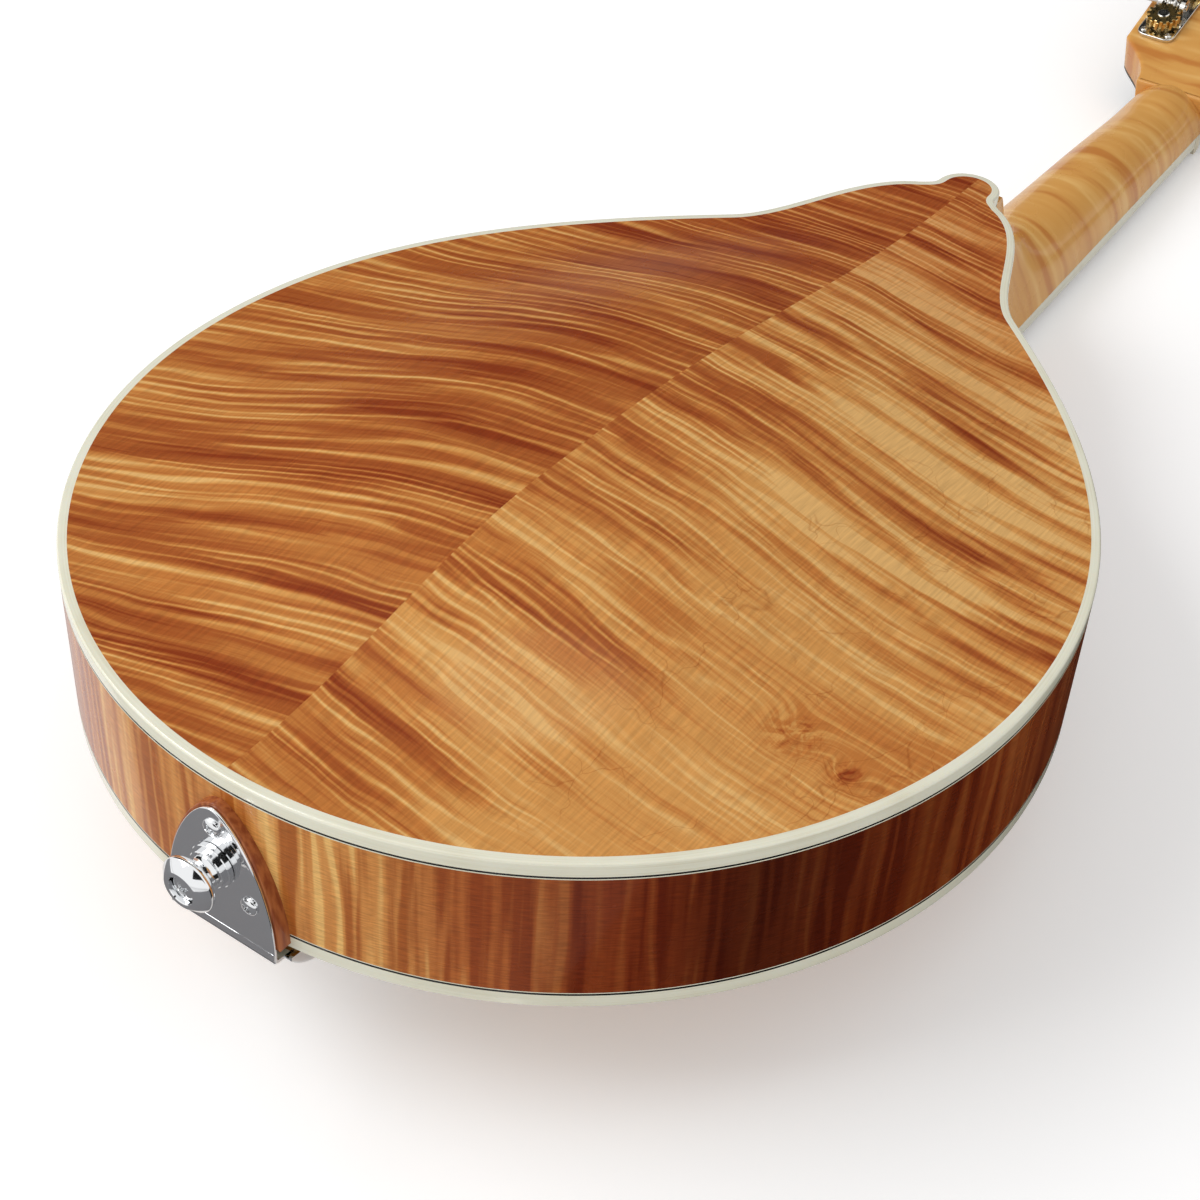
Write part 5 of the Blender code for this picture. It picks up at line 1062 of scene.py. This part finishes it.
line, _, out = round_trip(plate_line(0, PLATE_LOW), 301)
rows = slab(line, out, rounded_sides(PLATE_IN, PLATE_IN + PLATE_THICK, 0.0001, 0.0004))
patches = [(rows, 0)]

LEG = 0.028
leg_y = np.linspace(0, LEG, 12)
along = np.concatenate([[(-PLATE_IN - PLATE_THICK * 0.55, 0.001)],
                        [(-PLATE_IN - PLATE_THICK * 0.55 + 0.0014 * (1 - cos(a)),
                          -0.0006 - 0.0014 * sin(a)) for a in
                         np.linspace(0, pi / 2, 6)],
                        np.column_stack([leg_y, -0.00195 - 0.088 * (leg_y + PLATE_IN)])])
ahead_leg = unit(np.gradient(along, axis=0))
off = np.column_stack([-ahead_leg[:, 1], ahead_leg[:, 0]]) * PLATE_THICK / 2
wide = np.full(len(along), PLATE_HALF - 0.0001)
wide[-1] -= 0.0015
wide[-2] -= 0.0003
rows = np.stack([np.stack([s * wide, along[:, 0] + k * off[:, 0], along[:, 1] + k * off[:, 1]], -1)
                 for s, k in ((1, 1), (-1, 1), (-1, -1), (1, -1), (1, 1))], 1)
to_tail = np.array(tail_place.inverted() @ lying)
patches.append((moved(ended(rows), to_tail), 0))


def leg_under(y):
    """The z of the leg's outer face: it lifts by 0.088 of the way that it has run from the tail."""
    return -0.0015 - 0.088 * (y + PLATE_IN) - PLATE_THICK


def wire(path, radius, sides=12):
    """A round section carried along a path, its rings set square to the path against one fixed direction,
    with its uv.
    """
    path = np.asarray(path, float)
    ahead = unit(np.gradient(path, axis=0))
    side = np.cross(ahead, (0.0, 0.3, 1.0))
    flat = np.linalg.norm(side, axis=1) < 0.2
    side[flat] = np.cross(ahead[flat], (1.0, 0.0, 0.0))
    side = unit(side)
    lift = np.cross(side, ahead)
    t = np.linspace(0, 2 * pi, sides + 1)
    radius = np.broadcast_to(radius, len(path))[:, None, None]
    rows = path[:, None] + radius * (side[:, None] * np.cos(t)[:, None] + lift[:, None] * np.sin(t)[:, None])
    u, v = np.meshgrid(lengths(path), t / (2 * pi), indexing="ij")
    return rows, np.stack([u, v], -1)


def capped_wire(path, radius, sides=12):
    """A wire closed at both ends, as a patch of the first finish."""
    rows, uv = wire(path, radius, sides)
    return ended(rows), 0, np.concatenate([uv[:1], uv, uv[-1:]])


HOOK_Y = 0.0225
t = np.linspace(0, 1, 14)
for _, _, x, _, _ in STRINGS:
    y = HOOK_Y + 0.0006 - 0.0022 * t**1.6
    z = leg_under(HOOK_Y) + 0.0004 - 0.0048 * t
    rows, _ = wire(np.column_stack([np.full(14, x), y, z]), 0.00062 * (1 - 0.35 * t**4), 10)
    patches.append((moved(ended(rows), to_tail), 0))
plate = grid_piece("tail_plate", patches, [chrome], at=tail_place, sharp=30)
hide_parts("tailpiece_base")

line, _, out = round_trip(plate_line(0.0008, 0.0018), 301)
rim_at = np.interp(np.abs(line[:, 0]), RIGHT_SIDE[:60, 0], RIGHT_SIDE[:60, 1])
front = slab(line, out, rounded_sides(0, PLATE_IN - 0.0001, 0.0001, 0.0003)[5:])[2:]
near = np.column_stack([line, -rim_at])
behind = np.column_stack([line[:, 0] * 0, line[:, 1], np.full(len(line), -RIGHT_SIDE[0, 1])])
rows = np.concatenate([behind[None], near[None], front])
shim = grid_piece("tail_shim", [(rows, 0)], [shim_wood], at=tail_place)
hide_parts("tailpiece_shim")


# STRINGS
# Eight, in four pairs. Each hangs by its looped end on a hook, runs over the saddle and through the nut
# and is wound round its post. The two low pairs are wrapped with bronze wire, the others plain steel.

plain_steel, tree, shader = shaded("plain_steel", Base_Color=(0.62, 0.62, 0.63, 1), Metallic=1.0)
scuff = grit(tree, 900.0, 3.0)
feed(tree, shader["Roughness"], ranged(tree, scuff, 0.3, 0.7, 0.14, 0.30))
wound_bronze, tree, shader = shaded("wound_bronze", Metallic=1.0, Roughness=0.30)
length, way_round, _ = apart(tree, put(tree, "UVMap", uv_map="lie"))
turns = linear(tree, length, 4200.0, way_round)
ridge = calc(tree, "ABSOLUTE", calc(tree, "SINE", times(tree, turns, pi)))
tarnish = grit(tree, 300.0, 4.0)
copper = steps(tree, tarnish, (0.35, (0.50, 0.27, 0.11)), (0.65, (0.74, 0.46, 0.22)))
# Painted shade: the grooves between the turns of the winding are darkened to a deep brown.
feed(tree, shader["Base Color"], blended(tree, times(tree, less(tree, 1.0, ridge), 0.8), copper,
                                         (0.12, 0.06, 0.03, 1)))
feed(tree, shader["Normal"], put(tree, "Bump", Height=ridge, Strength=0.6, Distance=0.00006))

POST_X, FIRST, STEP = 0.019, 0.032, 0.023
HOLE_Z, POST_R = -0.0085, 0.0030
HOOK_Z = leg_under(HOOK_Y + 0.002) - 0.0026
WOUND = (1.6, 2.0, 3.0, 3.5)
head_frame = np.array(lying.inverted() @ head_place)
from_head = np.linalg.inv(head_frame)
for number, (name, course, tail_x, seat_x, nut_x) in enumerate(STRINGS):
    thick = THICK[course]
    metal, slot = (wound_bronze, "wound_bronze") if thick > 0.0005 else (plain_steel, "string_steel")
    hook = np.array((tail_x, HOOK_Y + 0.002, HOOK_Z))
    over = np.array((seat_x, BRIDGE_Y + SET_BACK[course], CREST - 0.0003 + thick / 2))
    nut_in, nut_out = moved(np.array([(nut_x, 0, -0.0015), (nut_x, 0.0018, -0.0015)]), to_body)

    t = np.linspace(0, 2 * pi, 25)
    loop = np.column_stack([tail_x + 0.0011 * np.sin(t) * (1 - 0.25 * np.cos(t)),
                            HOOK_Y - 0.0001 - 0.0021 * np.cos(t + pi),
                            np.full(25, HOOK_Z)])
    run = hook + np.array((0, 0, 0, 0, 0, 1.0))[:, None] * (over - hook)
    wrapped = np.array((0.0004, 0.0008, 0.0048, 0.0052))[:, None]  # where the loop's wrapping swells
    run[1:5] = hook + wrapped * (over - hook) / np.linalg.norm(over - hook)
    fat = np.array((0.00022, thick / 2 + 0.00018, thick / 2 + 0.00022, thick / 2 + 0.00022, thick / 2,
                    thick / 2))
    ring, ring_uv = wire(loop, min(thick * 0.3, 0.0002), 8)
    tail_part = grid_piece(name + "_tail", [capped_wire(run, fat), (ring, 0, ring_uv)], [metal], body=None)
    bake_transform(tail_part)

    speaking = grid_piece(name + "_open", [capped_wire([over, nut_in], thick / 2)], [metal], body=None)
    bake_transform(speaking)

    side, place_no = (1, number) if number < 4 else (-1, 7 - number)
    post = np.array((side * POST_X, FIRST + place_no * STEP))
    leaves = moved(nut_out, from_head)
    first_z, last_z = HOLE_Z + 0.0002 + thick, HOLE_Z + 0.0002 + thick * (1 + WOUND[course])
    away = leaves[:2] - post

    def beside(z):
        """How far out the wire runs at z: the waisted post's radius, half the wire and 0.03 mm."""
        return POST_R - 0.00045 * np.cos(pi * (z - HOLE_Z) / 0.006) + thick / 2 + 0.00003

    touch = np.arctan2(away[1], away[0]) - side * np.arccos(beside(last_z) / np.linalg.norm(away))
    t = np.linspace(0, 2 * pi * WOUND[course], int(30 * WOUND[course]))
    z = last_z + (first_z - last_z) * t / t[-1]
    turn = touch - side * t
    coil = np.column_stack([post[0] + beside(z) * np.cos(turn), post[1] + beside(z) * np.sin(turn), z])
    to_post = np.concatenate([[leaves], leaves + np.array((0.3, 0.9))[:, None] * (coil[0] - leaves), coil])
    path = np.concatenate([[nut_in, nut_in + 0.7 * (nut_out - nut_in)], moved(to_post, head_frame)])
    head_part = grid_piece(name + "_wound", [capped_wire(path, thick / 2, 10)], [metal])
    for made in (tail_part, speaking, head_part):
        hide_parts(name)


# TAIL SCREWS AND STRAP BUTTON
# Three small dome-headed cross-slot screws hold the plate. The strap button is turned from brass and
# chromed: a foot, a waist for the strap and a bevelled flange, held by one larger screw in its recess.

button_place = tail_place @ Matrix.Translation((0, 0, PLATE_IN + PLATE_THICK + 0.0001))


def turned(profile, centre=(0, 0), sides=64):
    """A profile of (radius, z) turned about z."""
    profile = np.asarray(profile, float)
    t = np.linspace(0, 2 * pi, sides + 1)
    return grid_of(centre[0] + profile[:, :1] * np.cos(t), centre[1] + profile[:, :1] * np.sin(t),
                   profile[:, 1:])


def cross_head(centre, radius, base, crown, spin, depth):
    """A screw's dome with a cross pressed in: z = base + crown (1 - r^2), less depth where either arm
    of the cross, which tapers towards its ends, covers the point."""
    r = radius * np.concatenate([np.linspace(0, 0.66, 30), np.linspace(0.68, 1, 9)])[:, None]
    t = np.linspace(0, 2 * pi, 97)
    x, y = r * np.cos(t - spin), r * np.sin(t - spin)
    arm, width = radius * 0.60, radius * 0.16

    def covered(a, b):
        """1 where the arm along a covers the point, falling to 0 over its sides and its end."""
        narrow = width * (1 - 0.35 * np.clip(np.abs(a) / arm, 0, 1))
        sides = np.clip((narrow - np.abs(b)) / (width * 0.35), 0, 1)
        return sides * np.clip((arm - np.abs(a)) / (arm * 0.25), 0, 1)

    pressed = np.maximum(covered(x, y), covered(y, x))
    z = base + crown * (1 - (r / radius) ** 2) ** 0.6 - depth * pressed
    dome = grid_of(centre[0] + r * np.cos(t), centre[1] + r * np.sin(t), z)
    return np.concatenate([dome, turned([(radius, base - 0.0003)], centre, 96)])


for number, (x, z, spin) in enumerate(((0, 0.0312, 0.3), (0.0095, 0.0130, 0.9), (-0.0095, 0.0130, 0.1)), 1):
    base = 0.0002
    head_grid = cross_head((x, z), 0.0024, base, 0.0010, spin, 0.0008)
    shank = turned([(0.0024, base - 0.0003), (0.0013, base - 0.0006), (0.0013, -0.008), (0, -0.012)],
                   (x, z), 24)
    screw = grid_piece(f"plate_screw_{number}", [(head_grid, 0), (shank, 0)], [chrome], at=button_place,
                       sharp=40)
    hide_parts(f"tail_screw_{number}")

strap_place = button_place @ Matrix.Translation((0, 0.0205, 0))
foot = [(0.0018, 0), (0.0055, 0), (0.0057, 0.0002), (0.0057, 0.0014), (0.0055, 0.0016), (0.0049, 0.0016)]
waist = [(0.0049, 0.0028), (0.0047, 0.0030), (0.0039, 0.0030)]
neck_t = np.linspace(0, 1, 9)
waist += [(0.0038 + 0.0002 * (2 * a - 1) ** 2, 0.0031 + 0.0027 * a) for a in neck_t]
flange = [(0.0040 + 0.0031 * sin(a), 0.0078 - 0.0020 * cos(a)) for a in np.linspace(0.15, pi / 2 - 0.1, 8)]
flange += [(0.0072, 0.0079), (0.0072, 0.0085), (0.0071, 0.0087), (0.0049, 0.0107), (0.0046, 0.0108),
           (0.0037, 0.0108),
           (0.0035, 0.0106), (0.0035, 0.0080), (0.0018, 0.0080), (0.0018, 0)]
button = grid_piece("strap_peg", [(turned(foot + waist + flange), 0)], [chrome], at=strap_place, sharp=28)
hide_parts("strap_button")
head_grid = cross_head((0, 0), 0.0033, 0.0094, 0.0009, 0.55, 0.0011)
shank = turned([(0.0033, 0.0091), (0.0033, 0.0081), (0.0016, 0.0081), (0.0016, -0.0095), (0, -0.011)])
screw = grid_piece("strap_peg_screw", [(head_grid, 0), (shank, 0)], [chrome], at=strap_place, sharp=40)
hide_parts("strap_button_screw")


# TAILPIECE COVER
# A stamped and chromed brass cover 0.8 mm thick that slides over the hooks and hides the string ends.
# It is arched across, open below and towards the bridge, and comes off towards the bridge.

COVER_LONG, SHEET = 0.072, 0.0008
share = np.concatenate([np.array([0.007, 0.012, 0.02, 0.03]), np.linspace(0.04, 1, 40)])
y = share * COVER_LONG
low = -0.0022 - 0.12 * y
high = -0.0115 - 0.126 * y + 0.0085 * np.exp(-y / 0.0045)
half = PLATE_HALF + 0.0014
t = pi / 4 * (1 - np.cos(np.linspace(0, pi, 26)))
across, climb = np.cos(t) ** 0.24, np.sin(t) ** 0.32
across[-1], climb[0] = 0, 0
right = grid_of(half * across, y[:, None], low[:, None] + (high - low)[:, None] * climb)
outer = np.concatenate([right, right[:, -2::-1] * (-1, 1, 1)], 1)
inner = outer.copy()
inner[..., 0] *= 1 - SHEET / half
inner[..., 2] = low[:, None] + (outer[..., 2] - low[:, None]) * (1 - SHEET / (low - high))[:, None]
lips = [(np.stack([outer[edge], inner[edge]]), 0) for edge in (0, -1, np.s_[:, 0], np.s_[:, -1])]
shell = grid_piece("tail_cover", [(outer, 0), (inner, 0), *lips], [chrome], body="cover", sharp=40)
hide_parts("tailpiece_cover")


# TUNING MACHINES
# Four on each side. A worm on each button's shaft turns a brass gear on the foot of its string post;
# shafts run in ears bent up from a nickel-plated strip, which small screws hold to the headstock's back.

LEVEL = 0.0195
TEETH, PITCH_R = 14, 0.0060
WORM_PITCH = 2 * pi * PITCH_R / TEETH
WORM_Y = 0.0085

nickel, tree, shader = shaded("nickel", Metallic=1.0)
haze = grit(tree, 300.0, 5.0)
feed(tree, shader["Base Color"], steps(tree, haze, (0.35, (0.60, 0.58, 0.54)), (0.65, (0.76, 0.75, 0.72))))
feed(tree, shader["Roughness"], ranged(tree, haze, 0.3, 0.7, 0.26, 0.12))

t = np.linspace(0, 2 * pi, TEETH * 16 + 1)
tooth = np.clip(0.5 + 1.15 * np.cos(TEETH * (t - pi / 2)), 0, 1)
tooth = tooth * tooth * (3 - 2 * tooth)
gear_r = PITCH_R - 0.0008 + 0.0012 * tooth
lean = WORM_PITCH / (2 * pi) / (WORM_Y - PITCH_R) / PITCH_R
z = np.array((-0.00175, -0.0016, *np.linspace(-0.0012, 0.0012, 5), 0.0016, 0.00175))[:, None]
r = gear_r - np.where(np.abs(z) > 0.0017, 0.0002, 0)
gear = grid_of(r * np.cos(t + lean * z), r * np.sin(t + lean * z), LEVEL + z)
gear_screw = [(0.0, LEVEL + 0.0022), (0.0020, LEVEL + 0.0022), (0.0023, LEVEL + 0.0019),
              (0.0023, LEVEL + 0.0016)]
roll_t = np.linspace(0, pi, 12)
post_profile = [(0, LEVEL - 0.001), (POST_R, LEVEL - 0.001), (POST_R, -0.0016), (POST_R, HOLE_Z + 0.0030)]
post_profile += [(POST_R - 0.00045 * sin(a), HOLE_Z + 0.0030 - 0.0060 * a / pi) for a in roll_t[1:-1]]
post_profile += [(POST_R, HOLE_Z - 0.0032), (POST_R, -0.0158), (0.0028, -0.0163), (0.0022, -0.0165),
                 (0, -0.0165)]
bushing = [(0.0031, -0.0014), (0.0031, -0.0024), (0.0036, -0.0026), (0.0044, -0.0024), (0.0050, -0.0017),
           (0.0050, -0.0015), (0.0031, -0.0014)]

worm_x = np.linspace(-0.0030, 0.0030, 90)[:, None]
worm_t = np.linspace(0, 2 * pi, 33)
worm_r = 0.0023 - 0.0006 * np.cos(2 * pi * worm_x / WORM_PITCH - (worm_t - pi))
worm_r *= np.clip((0.0031 - np.abs(worm_x)) / 0.0004, 0.62, 1)
worm = grid_of(worm_x, worm_r * np.cos(worm_t), worm_r * np.sin(worm_t))


def along_shaft(profile):
    """A profile of (x, radius) turned about the shaft."""
    x, r = np.array(profile).T[..., None]
    return grid_of(x, r * np.cos(worm_t), r * np.sin(worm_t))


shaft_grid = along_shaft([(-0.0060, 0.0010), (-0.0059, 0.0013), (-0.0030, 0.0013), (0.0030, 0.0013),
                          (0.0165, 0.0013)])
ferrule = along_shaft([(0.0148, 0.0013), (0.0148, 0.0020), (0.0152, 0.0023), (0.0164, 0.0023),
                       (0.0164, 0.0013)])
knob_x = np.concatenate([0.0165 - 0.0002 * np.cos(np.linspace(0, pi / 2, 3)), np.linspace(0.0168, 0.0300, 30),
                         0.0300 + 0.0010 * np.sin(np.linspace(0.2, pi / 2, 8))])
knob_places = (0.0163, 0.0166, 0.0188, 0.0238, 0.0285, 0.0303, 0.0310)
wide = through(knob_x, knob_places, (0.0018, 0.0024, 0.0038, 0.0060, 0.0061, 0.0048, 0.0006))
thick = through(knob_x, knob_places, (0.0018, 0.0025, 0.0028, 0.0032, 0.0032, 0.0024, 0.0003))
t = np.linspace(0, 2 * pi, 49)
knob_grid = grid_of(knob_x[:, None], wide[:, None] * np.sign(np.cos(t)) * np.abs(np.cos(t)) ** 0.85,
                    thick[:, None] * np.sign(np.sin(t)) * np.abs(np.sin(t)) ** 0.85)
PLATE_BACK = 0.0151

for sign, label in ((1, "bass"), (-1, "treble")):
    for number in range(4):
        x, y = sign * POST_X, FIRST + number * STEP
        at = head_place @ Matrix.Translation((x, y, 0))
        thick = THICK[number // 2 if sign > 0 else 3 - number // 2]
        end, _ = wire([(0.0020 * sign, 0, HOLE_Z), (0.0042 * sign, 0, HOLE_Z),
                       (0.0052 * sign, 0.0004, HOLE_Z)], thick / 2, 8)
        patches = [(ended(gear), 1), (turned(gear_screw, sides=32), 0),
                   (turned(post_profile, sides=40), 0), (ended(end), 2)]
        post = grid_piece(f"string_post_{label}_{number + 1}", patches,
                          [nickel, brass, wound_bronze if thick > 0.0005 else plain_steel],
                          body=f"post_{label}_{number + 1}", at=at, sharp=32)
        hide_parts(f"tuner_post_{label}_{number + 1}")
        at = head_place @ Matrix.Translation((x, y + WORM_Y, LEVEL))
        if sign < 0:
            at = at @ Matrix.Rotation(pi, 4, "Y")
        patches = [(ended(worm), 1), (ended(shaft_grid), 1), (ended(ferrule), 1), (ended(knob_grid), 0)]
        knob = grid_piece(f"button_{label}_{number + 1}", patches, [pearl, nickel],
                          body=f"knob_{label}_{number + 1}", at=at, sharp=40)
        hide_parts(f"tuner_knob_{label}_{number + 1}")

for sign, label in ((1, "bass"), (-1, "treble")):
    low, high = FIRST - 0.0085, FIRST + 3 * STEP + WORM_Y + 0.0085
    half, corner = 0.0075, 0.0035
    corner_t = np.linspace(0, pi / 2, 8)
    right = [(0, low)] + [(half - corner * (1 - sin(a)), low + corner * (1 - cos(a))) for a in corner_t]
    right += [(half - corner * (1 - cos(a)), high - corner * (1 - sin(a))) for a in corner_t] + [(0, high)]
    line, _, out = round_trip(np.array(right), 241)
    line = line + (sign * POST_X, 0)
    sides = rounded_sides(PLATE_BACK - 0.0002, PLATE_BACK + 0.0012, 0.0001, 0.0004)
    patches = [(slab(line, out, sides, sign * POST_X), 0)]
    t = np.linspace(0, pi, 13)
    for number in range(4):
        y = FIRST + number * STEP + WORM_Y
        for end in (-1, 1):
            x = sign * POST_X + end * 0.0045
            arc = np.column_stack([y + 0.0032 * np.cos(t), LEVEL + 0.0029 * np.sin(t)])
            ring = np.concatenate([[(y + 0.0032, PLATE_BACK)], arc,
                                   [(y - 0.0032, PLATE_BACK), (y + 0.0032, PLATE_BACK)]])
            rows = np.array([np.column_stack([np.full(len(ring), x + k), ring[:, 0], ring[:, 1]])
                             for k in (-0.0009, 0.0009)])
            patches.append((ended(rows), 0))
    for x, y, r in ((-0.0050, low + 0.0028, 0.0013), (0.0050, low + 0.0028, 0.0013),
                    (0, FIRST + 0.0137, 0.0016),
                    (0, FIRST + STEP + 0.0137, 0.0016), (0, FIRST + 2 * STEP + 0.0137, 0.0016),
                    (0, high - 0.0029, 0.0016)):
        patches.append((cross_head((sign * POST_X + x, y), r, PLATE_BACK + 0.0014, r * 0.35, y * 900 + x,
                                   r * 0.3), 0))
    strip = grid_piece(f"machine_strip_{label}", patches, [nickel], at=head_place, sharp=32)
    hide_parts(f"tuner_plate_{label}")
    patches = [(turned(bushing, (sign * POST_X, FIRST + number * STEP), 36), 0) for number in range(4)]
    rings = grid_piece(f"post_bushings_{label}", patches, [nickel], at=head_place, sharp=32)


# TRUSS ROD
# A steel rod in the neck with a brass nut at the headstock end, under the little bell-shaped cover.

refinish("truss_rod", post_steel)
refinish("truss_rod_nut", brass)
